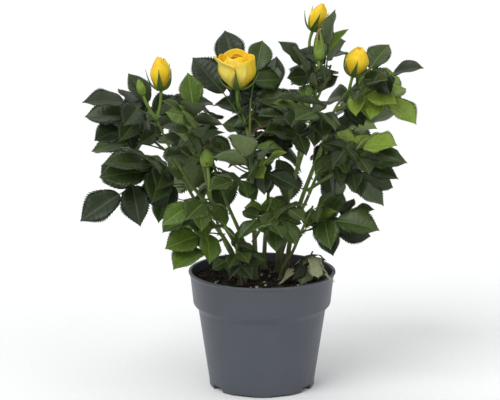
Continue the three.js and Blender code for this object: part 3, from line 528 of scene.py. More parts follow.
def limbCurve(name):
    limb = limbs[name]
    tip = vec(*limb["tip"])
    if "from" not in limb:
        foot = vec(*limb["foot"], limbFoot)
        straight = foot + up((tip[2] - foot[2]) * stem["upright"])
        return Bezier(foot, straight, foot + (tip - foot) * stem["bow"], tip)
    parentCurve = limbCurve(limb["from"])
    fork = parentCurve.at(limb["at"])
    aim = unit(tip - fork)
    angle = math.acos(parentCurve.slope(limb["at"]) @ aim)
    girth = limbRadius(limb["from"], limb["at"]) + seatGap
    start = fork + aim * (girth / math.sin(angle) + limb["radius"][0] / math.tan(angle))
    return Bezier(start, *(start + (tip - start) * share for share in stem["boughBends"]), tip)


def limbRadius(name, t):
    limb = limbs[name]
    base, tip = limb["radius"]
    height = t * (limb["tip"][2] - limbFoot)
    flare = 0 if "from" in limb else stem["flare"] * max(0, 1 - height / stem["flareHeight"])
    return base + (tip - base) * t + flare


def massStem(mass):
    curve = limbCurve(mass["limb"])
    direction = curve.slope(1)
    start = curve.at(1) + direction * seatGap
    tip = vec(*mass["tip"])
    return Bezier(start, start + direction * distance(start, tip) * twig["bend"], tip)


def growLeaf(base, tip, mass, random, finer=1):
    chord = distance(base, tip)
    outward = vec(tip[0] - base[0], tip[1] - base[1], 0)
    if math.hypot(outward[0], outward[1]) < leaf["steep"] * chord:
        outward = vec(base[0], base[1], 0)
    outward = unit(outward)
    bend = base + (tip - base) * 0.5
    bend[2] += chord * between(leaf["arch"], random)
    spine = Bezier(base, bend, tip)
    level = vec(-outward[1], outward[0], 0)
    roll = -level[1] * mass["faces"] * leaf["facing"] + (random() - 0.5) * leaf["roll"]
    terminal = min(max(leaf["share"] * chord, leaf["least"] * finer), leaf["most"])
    stalkEnd = 1 - terminal / chord
    leaflets = []

    def addLeaflet(t, angle, scale):
        forward = spine.slope(t)
        flat = unit(cross(forward, level))
        side = level * math.cos(roll) + flat * math.sin(roll)
        normal = unit(cross(forward, side))
        along = forward * math.cos(angle * degree) + side * math.sin(angle * degree)
        along = unit(along + normal * (random() - leaf["tiltDown"]) * leaf["tiltRange"])
        across = unit(cross(normal, along))
        length = terminal * scale * between(leaf["length"], random)
        leaflets.append({
            "root": spine.at(t), "along": along, "across": across, "normal": cross(along, across),
            "length": length, "width": length * between(leaf["width"], random),
            "fold": between(leaf["fold"], random), "droop": between(leaf["droop"], random),
        })

    for back, angle, scale in leaf["pairs"]:
        if chord - terminal * (1 + back) < leaf["bareStalk"] * finer:
            continue
        t = stalkEnd - back * terminal / chord
        addLeaflet(t, angle, scale)
        addLeaflet(t, -angle, scale)
    addLeaflet(stalkEnd, 0, 1)
    return {"spine": spine, "chord": chord, "stalkEnd": stalkEnd, "leaflets": leaflets}


def leafletSamples(leaflet):
    # the blade's outline and points within it, where a leaflet is tested for room
    start, end, half, middle = leaf["widest"]
    edge = leaflet["fold"] * leaflet["width"]
    fall = leaflet["droop"] * leaflet["length"]
    lower = edge - leaf["rimFall"] * fall
    rows = [(start, half, edge), (end, half, lower), (1, 0, -fall), (end, -half, lower), (start, -half, edge),
            (middle, 0, leaf["thickness"] / 2), (middle, 0, -leaf["thickness"] / 2)]
    for forward in sampleRows["forward"]:
        halfWidth = half * math.sin(math.pi * forward ** sampleRows["lead"])
        for share in sampleRows["sideways"]:
            rows.append((forward, share * halfWidth, abs(share) * edge - fall * forward ** 2))
    spots = np.array(rows)
    ahead = spots[:, :1] * leaflet["length"] * leaflet["along"]
    aside = spots[:, 1:2] * leaflet["width"] * leaflet["across"]
    return leaflet["root"] + ahead + aside + spots[:, 2:] * leaflet["normal"]


def power(points, mass):
    radius = sum(mass["size"]) / 3
    return ((points - mass["middle"]) ** 2).sum(1) - radius * radius


def inOwnSpace(points, mass, space=1):
    reach = (((points - mass["middle"]) / (np.array(mass["size"]) * space)) ** 2).sum(1)
    if (reach > 1).any():
        return False
    own = power(points, mass)
    for other, apart in mass["neighbours"]:
        if (power(points, other) - own <= 2 * apart * clearance["space"]).any():
            return False
    return True


obstacles = {"stations": [], "rooms": [], "points": []}


def hasRoom(points, mass, leafGap):
    overPot = np.hypot(points[:, 0], points[:, 1]) < pot["lip"][0] + clearance["rim"]
    if (overPot & (points[:, 2] < pot["height"] + clearance["soil"])).any():
        return False
    places, reaches = mass["stations"]
    apart = np.sqrt(((points[:, None] - places[None]) ** 2).sum(2))
    if (apart < reaches[None]).any():
        return False
    for middle, radius in obstacles["rooms"]:
        if (((points - middle) ** 2).sum(1) < (radius + clearance["flower"]) ** 2).any():
            return False
    for taken in (obstacles["points"], mass["taken"]):
        if len(taken) and (((points[:, None] - taken[None]) ** 2).sum(2) < leafGap ** 2).any():
            return False
    return True


def tryLeaf(base, tip, mass, random, finer=1):
    grown = growLeaf(base, tip, mass, random, finer)
    leafGap = clearance["leaf"] * finer
    space = 1 if finer == 1 else clearance["finerSpace"]
    first, step, rounding = stalk["testFrom"], stalk["testStep"], 1e-9
    way = np.zeros((0, 3))
    if grown["stalkEnd"] >= first:
        steps = int((grown["stalkEnd"] - first) / step + rounding)
        way = np.array([grown["spine"].at(first + i * step) for i in range(steps + 1)])
    if len(way) and not (inOwnSpace(way, mass, space) and hasRoom(way, mass, leafGap)):
        return None
    samples = [way]
    whole = len(grown["leaflets"])
    kept = []
    for leaflet in grown["leaflets"]:
        spots = leafletSamples(leaflet)
        if inOwnSpace(spots, mass, space) and hasRoom(spots, mass, leafGap):
            kept.append(leaflet)
            samples.append(spots)
    grown["leaflets"] = kept
    grown["samples"] = np.concatenate(samples)
    grown["share"] = len(kept) / whole
    return grown


def growTwigs(mass):
    trunk = massStem(mass)
    twigs = [trunk]
    random = makeRandom(mass["seed"] * seedSteps["twig"])
    for i in range(mass["twigs"]):
        start = trunk.at(twig["forks"][0] + twig["forks"][1] * i / mass["twigs"])
        heading = i * goldenAngle + random() * turn
        away = mass["middle"] - start
        away[0] += twig["spread"] * math.cos(heading)
        away[1] += twig["spread"] * math.sin(heading)
        away[2] = abs(away[2]) + twig["lift"]
        end = start + unit(away) * mass["reach"] * twig["length"]
        bend = (start + end) / 2 - up(twig["sag"])
        twigs.append(Bezier(start, bend, end))
    return twigs


def twigNodes(curve, side):
    first, last, count = twig["sideNodes"] if side else twig["stemNodes"]
    places = [first + (last - first) * i / (count - 1) for i in range(count)]
    return [{"point": curve.at(place), "bare": True} for place in places]


def seedFor(steps, mass, index, attempt):
    return mass["seed"] * steps[0] + index * steps[1] + attempt * steps[2]


def bestLeaf(mass, attempts, makeAttempt, finer=1):
    best = None
    for attempt in range(attempts):
        node, tip, random = makeAttempt(attempt)
        grown = tryLeaf(node["point"], tip, mass, random, finer)
        if grown and grown["share"] > (best["share"] if best else leaf["leastShare"]):
            best = dict(grown, node=node)
        if best and best["share"] == 1:
            break
    if not best:
        return
    best["node"]["bare"] = False
    mass["grown"].append(best)
    mass["taken"] = np.vstack([mass["taken"], best["samples"]])


def growAims(mass):
    for index, aim in enumerate(mass["aims"]):
        far = vec(*aim)
        free = sorted((node for node in mass["nodes"] if node["bare"]),
                      key=lambda node: abs(distance(node["point"], far) - mass["reach"]))

        def attemptAt(attempt):
            node = free[attempt % min(spray["triesPerNode"], len(free))]
            random = makeRandom(seedFor(seedSteps["aim"], mass, index, attempt))
            short = 1 - spray["aimShrink"] * attempt
            return node, node["point"] + (far - node["point"]) * short, random
        bestLeaf(mass, spray["aimTries"], attemptAt)


def growSeeded(mass):
    for index in range(mass["leaves"]):
        free = [node for node in mass["nodes"] if node["bare"]]
        if not free:
            return
        first = math.floor((index + 0.5) / mass["leaves"] * len(free))

        def attemptAt(attempt):
            node = free[(first + attempt // spray["triesPerNode"]) % len(free)]
            random = makeRandom(seedFor(seedSteps["leaf"], mass, index, attempt))
            wander = spray["wander"][0] + spray["wander"][1] * attempt
            heading = mass["seed"] + index * goldenAngle + (random() - 0.5) * wander
            lift = between(spray["lift"], random) * degree
            share = between(spray["reach"], random) * (1 - spray["shrink"] * attempt)
            length = mass["reach"] * share
            return node, node["point"] + pointing(heading, lift) * length, random
        bestLeaf(mass, spray["tries"], attemptAt)


def flowerStalk(mass, name, base):
    form = flowerForms[name]
    top = vec(*base)
    start = vec(*mass["tip"])
    arrive = unit(vec(*form["lean"], 1))
    return Bezier(start, top - arrive * 0.5 * distance(start, top), top)


withered = {
    "foot": (36, -24), "tip": (44, -28, 128), "leaves": 9, "length": 29, "width": 17, "headings": (-165, 75),
    "roots": (0.62, 0.96), "fall": 0.15, "droop": 0.12, "rise": 12, "lengths": (0.75, 0.3), "curl": -0.2,
}


def witheredCurve():
    foot = vec(*withered["foot"], limbFoot)
    return Bezier(foot, foot + up(withered["rise"]), vec(*withered["tip"]))


def witheredBlades():
    curve = witheredCurve()
    random = makeRandom(withered["leaves"] * seedSteps["withered"])
    first, last = withered["headings"]
    low, high = withered["roots"]
    blades = []
    for i in range(withered["leaves"]):
        heading = (first + (last - first) * i / (withered["leaves"] - 1)) * degree
        along = unit(onLevel(heading, -withered["fall"] * random()))
        across = sideways(heading)
        blades.append({
            "root": curve.at(low + (high - low) * (i * goldenShare % 1)), "along": along, "across": across,
            "normal": cross(along, across), "length": withered["length"] * between(withered["lengths"], random),
            "width": withered["width"], "fold": withered["curl"] * random(), "droop": withered["droop"],
        })
    return blades


def stationsAlong(curve, radiusAt):
    return [(curve.at(i / stationSteps), radiusAt(i / stationSteps)) for i in range(stationSteps + 1)]


def prepareMasses():
    owned = [(station, None) for name in limbs
             for station in stationsAlong(limbCurve(name), lambda t: limbRadius(name, t))]
    obstacles["points"] = np.concatenate([leafletSamples(blade) for blade in witheredBlades()])
    for mass in masses:
        mass["middle"] = vec(*mass["centre"])
        mass["grown"] = []
        mass["taken"] = np.zeros((0, 3))
        mass["twigCurves"] = growTwigs(mass)
        mass["nodes"] = [n for i, curve in enumerate(mass["twigCurves"]) for n in twigNodes(curve, i > 0)]
        mass["stalks"] = [flowerStalk(mass, name, base) for name, base in mass["flowers"]]
        for curve in mass["twigCurves"] + mass["stalks"]:
            owned += [(station, mass["name"]) for station in stationsAlong(curve, lambda t: twig["radius"])]
        for name, base in mass["flowers"]:
            form = flowerForms[name]
            rise = vec(*form["lean"], 1) * form["height"]
            obstacles["rooms"] += [(vec(*base) + rise * share, form["width"] / 2) for share in roomShares]
    for mass in masses:
        others = [(p, r) for (p, r), owner in owned if owner != mass["name"]]
        reach = max(mass["size"]) * clearance["nearShare"] + clearance["nearMargin"]
        near = [(p, r + clearance["limb"]) for p, r in others if distance(p, mass["middle"]) < reach]
        mass["stations"] = tuple(np.array(column) for column in zip(*near))
        mass["neighbours"] = [(other, distance(other["middle"], mass["middle"]))
                              for other in masses if other is not mass]


def leafCount():
    counts = [len(grown["leaflets"]) for mass in masses for grown in mass["grown"]]
    return f"{len(counts)} leaves with {sum(counts)} leaflets"


prepareMasses()
for mass in masses:
    growAims(mass)
    growSeeded(mass)
print("grown:", leafCount())


# Finer twigs and small leaves fill each mass, within the same reach

finer = {
    "twigs": 5, "forks": (0.3, 0.65), "rise": (0.1, 0.7), "length": 0.46, "lengths": (0.6, 0.5), "sag": (2, 2),
    "nodes": (0.45, 0.7, 0.97), "leaves": 24, "tries": 24, "triesPerNode": 2, "wander": (1, 0.5),
    "lift": (-30, 80), "reach": 0.74, "reaches": (0.75, 0.5), "scale": 0.76,
}


def growFiner(mass):
    random = makeRandom(mass["seed"] * seedSteps["shoot"])
    trunk = mass["twigCurves"][0]
    mass["shoots"] = []
    nodes = []
    for i in range(finer["twigs"]):
        start = trunk.at(finer["forks"][0] + finer["forks"][1] * i / finer["twigs"])
        heading = i * goldenAngle + random() * turn
        away = unit(onLevel(heading, between(finer["rise"], random)))
        end = start + away * mass["reach"] * finer["length"] * between(finer["lengths"], random)
        shoot = Bezier(start, (start + end) / 2 - up(between(finer["sag"], random)), end)
        here = [{"point": shoot.at(t), "bare": True} for t in finer["nodes"]]
        if inOwnSpace(np.array([node["point"] for node in here]), mass):
            mass["shoots"].append(shoot)
            nodes += here
    nodes += [node for node in mass["nodes"] if node["bare"]]
    for index in range(finer["leaves"]):
        free = [node for node in nodes if node["bare"]]
        if not free:
            return
        first = int(random() * len(free))

        def attemptAt(attempt):
            node = free[(first + attempt // finer["triesPerNode"]) % len(free)]
            draw = makeRandom(seedFor(seedSteps["small"], mass, index, attempt))
            wander = finer["wander"][0] + finer["wander"][1] * attempt
            heading = index * goldenAngle + (draw() - 0.5) * wander
            lift = between(finer["lift"], draw) * degree
            length = mass["reach"] * finer["reach"] * between(finer["reaches"], draw)
            return node, node["point"] + pointing(heading, lift) * length, draw
        bestLeaf(mass, finer["tries"], attemptAt, finer["scale"])


for mass in masses:
    growFiner(mass)
print("with the small ones:", leafCount())


# Leaf blades: toothed, folded at the midrib, and quilted between side veins that end in teeth

blade = {
    "veins": 8, "half": 0.49, "widest": 0.4, "base": 0.52, "basePower": 2.1, "tipPower": 2.4, "tipSharp": 0.3,
    "slant": 0.5, "slantFoot": (0.25, 0.75, 0.4), "slantEnd": 0.55, "edgePower": 3,
    "tooth": 0.075, "notch": 0.07, "hook": 0.026, "toothRise": (0.05, 0.2), "toothShare": (0.35, 0.65),
    "rib": 0.5, "ribTaper": 0.65, "relief": 0.24, "sunk": -0.06, "reliefEnd": 0.9, "fullLength": 30,
    "mostRelief": 1.2, "thickness": 0.32, "ribThicker": 0.8, "ripple": 0.04, "leastWaves": 1.2, "lean": 0.12,
    "crease": 0.12, "foldEase": 0.3, "curl": 0.06, "crumple": (7, 0.3), "pinch": (5, 0.45),
    "columns": (1, 0.62, 0.28, 0), "under": (0, 1, 3, 4, 6, 7),  # the underside lies below these columns
    "veinSpan": (0.025, 0.93), "tipRows": ((0.965, 1, 0), (0.985, 0, 0), (1.0, 0, 0)),
    # share of a vein's run, tooth, relief
    "stations": ((0, 1, -1), (0.14, -1, -1), (0.5, 1, 1), (0.64, -1, 0.8)),
}
tones = {  # upper side, veins, underside
    "Dark": ((48, 62, 29), (88, 104, 54), (92, 104, 72)),
    "Deep": ((38, 50, 28), (74, 88, 50), (84, 96, 68)),
    "Mid": ((60, 78, 32), (102, 120, 60), (104, 120, 76)),
    "Bright": ((82, 106, 36), (124, 146, 66), (118, 138, 78)),
    "Young": ((118, 142, 50), (136, 158, 66), (130, 150, 76)),
    "Russet": ((70, 62, 34), (104, 90, 52), (104, 94, 62)),
}
tonePatches = [  # sprays of one tone: middle, radius, tone, share of the leaves there
    ((-60, -60, 137), 34, "Bright", 0.7), ((20, -24, 244), 34, "Bright", 0.6),
    ((49, -50, 174), 32, "Bright", 0.6), ((99, -10, 254), 20, "Young", 0.9),
    ((124, 0, 243), 22, "Young", 0.9), ((-24, -70, 190), 34, "Mid", 0.9),
    ((88, 16, 318), 22, "Russet", 0.6), ((-13, 0, 308), 24, "Russet", 0.6),
    ((-24, -10, 236), 20, "Young", 0.5), ((-118, 0, 200), 34, "Deep", 0.7),
    ((108, 0, 199), 30, "Dark", 0.8), ((10, -50, 150), 34, "Mid", 0.6),
]
toneShares = (("Dark", 0.42), ("Deep", 0.26), ("Mid", 0.24), ("Bright", 0.05), ("Young", 0.03))


def bladeTemplate():
    first, span = blade["veinSpan"]
    rows = [(0.0, 0, 0)]
    for vein in range(blade["veins"]):
        for share, tooth, lift in blade["stations"]:
            rows.append((first + span * (vein + share) / blade["veins"], tooth, lift))
    rows += blade["tipRows"]
    half = len(blade["columns"])
    count, wide, own = len(rows), 2 * half, len(blade["under"]) - 2
    u = np.array([*blade["columns"], *blade["columns"][::-1]], float)
    sign = np.array([-1] * half + [1] * half, float)
    looks = [int(j == half - 1) for i in range(count - 1) for j in range(wide - 1)]

    def underRow(i):
        # the underside shares the edges and has columns of its own between them
        return [i * wide, *(count * wide + i * own + k for k in range(own)), i * wide + wide - 1]
    lower = []
    for i in range(count - 1):
        here, after = underRow(i), underRow(i + 1)
        lower += [(here[j], after[j], after[j + 1], here[j + 1]) for j in range(own + 1)]
    faces = np.vstack([gridFaces(count, wide), lower])
    return np.array(rows), u, sign, faces, np.array(looks + [2] * len(lower))


bladeRows, bladeU, bladeSign, bladeFaces, bladeLooks = bladeTemplate()


def bladeMesh(heap, leaflet, random, crumple=0):
    f, tooth, lift = (bladeRows[:, k:k + 1] for k in range(3))
    length, width, widest = leaflet["length"], leaflet["width"], blade["widest"]
    low = 1 - np.clip((widest - f) / widest, 0, 1) ** blade["basePower"]
    ahead = np.clip((f - widest) / (1 - widest), 0, 1)
    high = (1 - ahead ** blade["tipPower"]) * (1 - ahead) ** blade["tipSharp"]
    half = width * blade["half"] * low ** blade["base"] * high
    least, more = blade["toothShare"]
    toothed = smoothStep(*blade["toothRise"], f) * (least + more * high)
    edge = 1 + tooth * np.where(tooth > 0, blade["tooth"], blade["notch"]) * toothed
    outer = bladeU ** blade["edgePower"]
    rib = blade["rib"] * (1 - blade["ribTaper"] * f)
    reach = half * (1 + (edge - 1) * outer)
    across = bladeSign * (rib + np.maximum(reach - rib, 0) * bladeU)
    least, more, full = blade["slantFoot"]
    lead = (least + more * np.minimum(f / full, 1)) * (1 - blade["slantEnd"] * f)
    forward = f * length + blade["slant"] * np.abs(across) * lead
    forward = forward + np.where(tooth > 0, blade["hook"] * length, 0) * toothed * outer
    forward = np.minimum(forward, length)
    share = np.abs(across) / (width * 0.5)
    phase, waves, lean = random() * turn, blade["leastWaves"] + random(), (random() - 0.5) * blade["lean"]
    wave = np.sin(turn * waves * forward / length + phase + bladeSign)
    fall = leaflet["droop"] * length * (forward / length) ** 2
    fold = (leaflet["fold"] + blade["crease"]) * width * share * (1 - blade["foldEase"] * share)
    curl = blade["curl"] * length * (2 * forward / length - 1) ** 2 * share
    height = fold - fall - curl + blade["ripple"] * length * wave * share ** 2 + lean * across
    quilt = np.where(lift > 0, lift * blade["relief"], -lift * blade["sunk"]) * toothed
    full = min(length / blade["fullLength"], blade["mostRelief"])
    height = height + quilt * np.sin(math.pi * np.clip(bladeU, 0, blade["reliefEnd"])) * full
    if crumple:
        waves, least = blade["crumple"]
        height = height + crumple * length * np.sin(waves * forward / length + phase) * (least + share)
        waves, most = blade["pinch"]
        across = across * (1 - most * np.abs(np.sin(waves * forward / length + phase)))
    middle = list(blade["under"][1:-1])
    thin = blade["thickness"] * (1 + blade["ribThicker"] * (bladeU[middle] == 0))
    axes = np.array([leaflet["along"], leaflet["across"], leaflet["normal"]])
    upper = np.stack([forward, across, height], 2).reshape(-1, 3)
    lower = np.stack([forward[:, middle], across[:, middle], height[:, middle] - thin], 2).reshape(-1, 3)
    heap.add(leaflet["root"] + np.vstack([upper, lower]) @ axes, bladeFaces, bladeLooks)


def toneOf(grown, random):
    middle = grown["spine"].at(1 - 0.5 * (1 - grown["stalkEnd"]))
    draw = random()
    for place, radius, tone, share in tonePatches:
        if distance(middle, vec(*place)) < radius:
            return tone if draw < share else "Mid"
    for tone, share in toneShares:
        draw -= share
        if draw < 0:
            return tone
    return "Dark"


leafSkin = {
    "coatRoughness": 0.3, "specular": 0.25, "fleckScale": 420, "darker": 0.86, "lighter": 1.14,
    "roughScale": 160, "roughRange": 0.2, "grainScale": 1400, "bump": 0.25, "depth": 0.0004,
}
leafStalk = {
    "sides": 5, "steps": 7, "fullLength": 70, "thick": (0.5, 0.5), "foot": 0.85, "taper": 0.3, "flare": 0.5,
    "flareEnd": 0.08, "colour": (84, 106, 48),
}
stipule = {
    "colour": (92, 116, 54), "splay": 0.35, "side": (0.3, 0.5, 0.8), "shoulder": 3.4, "width": 0.9, "length": 6,
    "end": 0.12,
}
mostPoints = 76000  # a piece with more points than this is followed by another


def leafFinish(name, colour, roughness, coat=0.0):
    skin = leafSkin
    finish = Finish(name, {"Coat Weight": coat, "Coat Roughness": skin["coatRoughness"],
                           "Specular IOR Level": skin["specular"]})
    base = np.array(paint(*colour))
    fleck = finish.noise(skin["fleckScale"], 4)
    low, high = (*(base[:3] * skin["darker"]), 1), (*(base[:3] * skin["lighter"]), 1)
    finish.feed("Base Color", finish.ramp(fleck, (0.35, low), (0.65, high)))
    finish.feed("Roughness", finish.noise(skin["roughScale"], 2) * skin["roughRange"] + (roughness - 0.1))
    finish.bump(finish.noise(skin["grainScale"], 2), skin["bump"], skin["depth"])
    return finish


def addLeafStalk(heap, grown):
    end, spine = grown["stalkEnd"], grown["spine"]
    part = Bezier(spine.at(0), 2 * spine.at(end / 2) - (spine.at(0) + spine.at(end)) / 2, spine.at(end))
    foot, taper, flare, flareEnd = (leafStalk[key] for key in ("foot", "taper", "flare", "flareEnd"))
    thick = leafStalk["thick"][0] + leafStalk["thick"][1] * min(grown["chord"] / leafStalk["fullLength"], 1)
    sweep(heap, part, lambda t, a: thick * (foot - taper * t + flare * max(0, flareEnd - t) / flareEnd),
          leafStalk["sides"], leafStalk["steps"])
    for hand in (-1, 1):  # stipules at the foot
        along = unit(part.slope(0.1) + stipule["splay"] * hand * up(1))
        normal = unit(cross(along, vec(*stipule["side"])))
        shoulder = part.at(0) + along * stipule["shoulder"] + normal * stipule["width"] * hand
        tab = [part.at(0), shoulder, part.at(0) + along * stipule["length"], part.at(stipule["end"])]
        heap.add(tab, [(0, 1, 2, 3)], 1)


def makeLeaves():
    heaps = {}
    stalks = Heap()
    for mass in masses:
        random = makeRandom(mass["seed"] * seedSteps["blade"])
        for grown in mass["grown"]:
            chunks = heaps.setdefault(toneOf(grown, random), [{"heap": Heap(), "nodes": set()}])
            if chunks[-1]["heap"].count > mostPoints:
                chunks.append({"heap": Heap(), "nodes": set()})
            chunks[-1]["nodes"].add("foliage_" + mass["name"])
            for leaflet in grown["leaflets"]:
                bladeMesh(chunks[-1]["heap"], leaflet, random)
            addLeafStalk(stalks, grown)
    for tone, chunks in heaps.items():
        top, vein, under = tones[tone]
        looks = [leafFinish("leafTop" + tone, top, 0.36, 0.12), leafFinish("leafVein" + tone, vein, 0.5),
                 leafFinish("leafUnder" + tone, under, 0.62)]
        for number, chunk in enumerate(chunks, 1):
            chunk["heap"].piece(f"leaves{tone}{number}", looks, "leaf", sorted(chunk["nodes"]))
    looks = [leafFinish("leafStalk", leafStalk["colour"], 0.5), leafFinish("stipule", stipule["colour"], 0.55)]
    stalks.piece("leafStalks", looks, "leaf", foliage)


makeLeaves()
print("leaves made")


# Canes, boughs and twigs: smooth green bark, browner and ridged below, with nodes and hooked prickles

bark = {
    "sides": 14, "steps": 64, "leastSteps": 16, "fullLength": 120, "waves": 4, "slowest": (4, 8), "ridge": 0.05,
    "ridgeTop": 1.6, "nodeEvery": 17, "nodeSwell": 0.08, "nodeSharp": 9, "specular": 0.4,
    "riseFrom": 0.098, "riseSpan": 0.13, "streakScale": 260, "streakStretch": (1, 1, 0.12),
    "streakShades": (0.72, 1.12), "bump": 0.5, "depth": 0.0006,
    "green": (108, 130, 58), "low": (106, 122, 60), "foot": (86, 82, 50), "shoot": (108, 124, 54),
    "redShoot": (98, 66, 46), "stalk": (124, 152, 66), "redShare": 0.45,
}
prickle = {
    "every": 9, "place": (0.3, 0.6), "ends": (0.03, 0.97), "missing": 0.3, "length": 2.6, "lengths": (0.6, 0.6),
    "width": 0.75, "oval": 0.7, "sharp": 1.3, "tip": 0.02, "sunk": 0.35, "out": 0.65, "hook": 0.4,
    "sides": 6, "steps": 4, "side": (0.3, 1, 0.1), "onTwigs": 0.7, "root": (84, 50, 40), "point": (112, 70, 52),
}
tube = {  # sides and steps of the thinner stems, and how thick they are
    "twig": (9, 22), "thinner": 0.25, "stalk": (9, 16), "stalkThick": (1.55, 0.3),
    "stalkHead": (0.3, 0.85, 0.15), "shoot": (6, 9), "shootThick": (0.85, 0.4),
}


def barkRadius(base, length, seed):
    random = makeRandom(seed)
    most, along = bark["slowest"]
    waves = [(1 + int(random() * most), random() * turn, random() * along) for i in range(bark["waves"])]

    def radius(t, angle):
        ridges = sum(math.sin(k * angle + phase + climb * t) for k, phase, climb in waves) / len(waves)
        node = abs(t * length / bark["nodeEvery"] % 1 - 0.5)
        swell = max(0, 1 - node * bark["nodeSharp"]) * bark["nodeSwell"]
        return base(t) * (1 + bark["ridge"] * ridges * (bark["ridgeTop"] - t) + swell)
    return radius


def addPrickles(heap, curve, radiusAt, length, random, scale=1):
    first, last = prickle["ends"]
    width = prickle["width"] * scale
    oval, sharp, tip = prickle["oval"], prickle["sharp"], prickle["tip"]
    for i in range(int(length / prickle["every"])):
        t = (i + prickle["place"][0] + prickle["place"][1] * random()) * prickle["every"] / length
        if not first < t < last or random() < prickle["missing"]:
            continue
        along = curve.slope(t)
        side = unit(cross(along, vec(*prickle["side"])))
        angle = i * goldenAngle + random()
        out = side * math.cos(angle) + cross(along, side) * math.sin(angle)
        size = scale * prickle["length"] * between(prickle["lengths"], random)
        foot = curve.at(t) + out * (radiusAt(t) - prickle["sunk"])
        end = foot + out * size - along * size * prickle["hook"]
        sweep(heap, Bezier(foot, foot + out * size * prickle["out"], end),
              lambda u, a: width * (1 + oval * abs(math.sin(a))) * (1 - u) ** sharp + tip,
              prickle["sides"], prickle["steps"])


def woodFinish(name, top, low, foot, roughness=0.55):
    finish = Finish(name, {"Specular IOR Level": bark["specular"]})
    height = finish.node("ShaderNodeSeparateXYZ", inputs=[finish.place()], output=2)
    rise = (height - bark["riseFrom"]) / bark["riseSpan"] + (finish.noise(90, 3) - 0.5) * 0.5
    colour = finish.ramp(rise, (0.0, paint(*foot)), (0.3, paint(*low)), (0.75, paint(*top)))
    streak = finish.noise(bark["streakScale"], 4, 0.7, stretch=bark["streakStretch"])
    dark, light = ((shade, shade, shade, 1) for shade in bark["streakShades"])
    shade = finish.ramp(streak, (0.3, dark), (0.7, light))
    finish.feed("Base Color", finish.blend(1.0, colour, shade, "MULTIPLY"))
    finish.feed("Roughness", finish.noise(300, 2) * 0.25 + (roughness - 0.12))
    finish.bump(streak, bark["bump"], bark["depth"])
    return finish


def makeWood():
    canes, prickles, twigs = Heap(), Heap(), Heap()
    for number, name in enumerate(limbs):
        curve = limbCurve(name)
        length = curve.length()
        base = lambda t, limb=name: limbRadius(limb, t)
        steps = max(int(bark["steps"] * min(1, length / bark["fullLength"])), bark["leastSteps"])
        sweep(canes, curve, barkRadius(base, length, 71 + number), bark["sides"], steps)
        addPrickles(prickles, curve, base, length, makeRandom(number * seedSteps["cane"] + 5))
    end = twig["tipRadius"] - tube["thinner"]
    thickStalk, taper = tube["stalkThick"]
    head, headFrom, headSpan = tube["stalkHead"]
    thickShoot, shootTaper = tube["shootThick"]
    for mass in masses:
        random = makeRandom(mass["seed"] * seedSteps["prickle"])
        for i, curve in enumerate(mass["twigCurves"]):
            thick = twig["radius"] * (twig["slimness"] if i else 1)
            base = lambda t: thick + (end - thick) * t
            length = curve.length()
            sweep(twigs, curve, barkRadius(base, length, mass["seed"] + i), *tube["twig"], int(i > 0))
            addPrickles(prickles, curve, base, length, random, prickle["onTwigs"])
        for curve in mass["stalks"]:
            sweep(twigs, curve, lambda t, a: thickStalk - taper * t + head * max(0, t - headFrom) / headSpan,
                  *tube["stalk"], 3)
        for curve in mass["shoots"]:
            look = 2 if random() < bark["redShare"] else 1
            sweep(twigs, curve, lambda t, a: thickShoot - shootTaper * t, *tube["shoot"], look)
    wood = woodFinish("greenCane", bark["green"], bark["low"], bark["foot"])
    canes.piece("canesAndBoughs", [wood], "green_cane", list(limbs))
    twigLooks = [woodFinish(name, bark[top], bark[top], bark[low]) for name, top, low in (
        ("twigGreen", "green", "low"), ("twigYoung", "shoot", "low"), ("twigRed", "redShoot", "low"),
        ("flowerStalk", "stalk", "green"))]
    twigs.piece("twigs", twigLooks, "leaf", foliage)
    thorn = Finish("prickle", {"Roughness": 0.45})
    thorn.tint(thorn.noise(500, 2), (0.3, prickle["root"]), (0.7, prickle["point"]))
    thorn.bump(thorn.noise(2500, 2), 0.2, 0.0002)
    prickles.piece("prickles", [thorn], "green_cane")


makeWood()
print("canes and twigs made")


# Pot: one turned shell of satin plastic, with a shouldered collar, a rolled lip and notches under its heel, and
# a painted highlight along the rim top

potDetail = {
    "turns": 144, "notchEdge": 0.004, "radii": (1.6, 1.2, 0.5, 0.6, 0.9, 0.8, 0, 1.5, 1.5),
    "foot": {"lift": 0.6, "ring": (4, 3.4), "bevel": ((-1.2, 0), (-0.35, 0.25), (0.1, 1.1), (0.35, 5.0))},
    # the pale grey here is painted over the rim top as a highlight, and it also colours the scuffs
    "plastic": (74, 78, 86), "worn": (82, 86, 94), "dust": (112, 108, 102), "specular": 0.35,
    "dustFrom": 0.094, "dustSpan": 0.012, "dustShare": 0.22, "scuffShare": 0.1,
}
black, white = (0, 0, 0, 1), (1, 1, 1, 1)


def roundCorners(corners, radii, steps=5):
    # a smooth outline through corners, each rounded by its own radius
    outline = []
    for i, (corner, radius) in enumerate(zip(corners, radii)):
        here = vec(*corner)
        if not radius:
            outline.append(here)
            continue
        before, after = vec(*corners[i - 1]), vec(*corners[i + 1])
        cut = min(radius, *(0.45 * distance(here, other) for other in (before, after)))
        start, end = here + unit(before - here) * cut, here + unit(after - here) * cut
        arc = Bezier([*start, 0], [*here, 0], [*end, 0])
        outline += [arc.at(k / steps)[:2] for k in range(steps + 1)]
    return np.array(outline)


def notchAt(angle):
    # how high and how deep the underside is cut at this angle
    for notch in (pot["drain"], pot["relief"]):
        for middle in notch["angles"]:
            away = (angle - middle * degree - 1.5 * math.pi + math.pi) % turn - math.pi
            if abs(away) < math.asin(notch["width"] / 2 / pot["heelRadius"]):
                return notch["height"], notch["depth"]
    return 0, pot["drain"]["depth"]


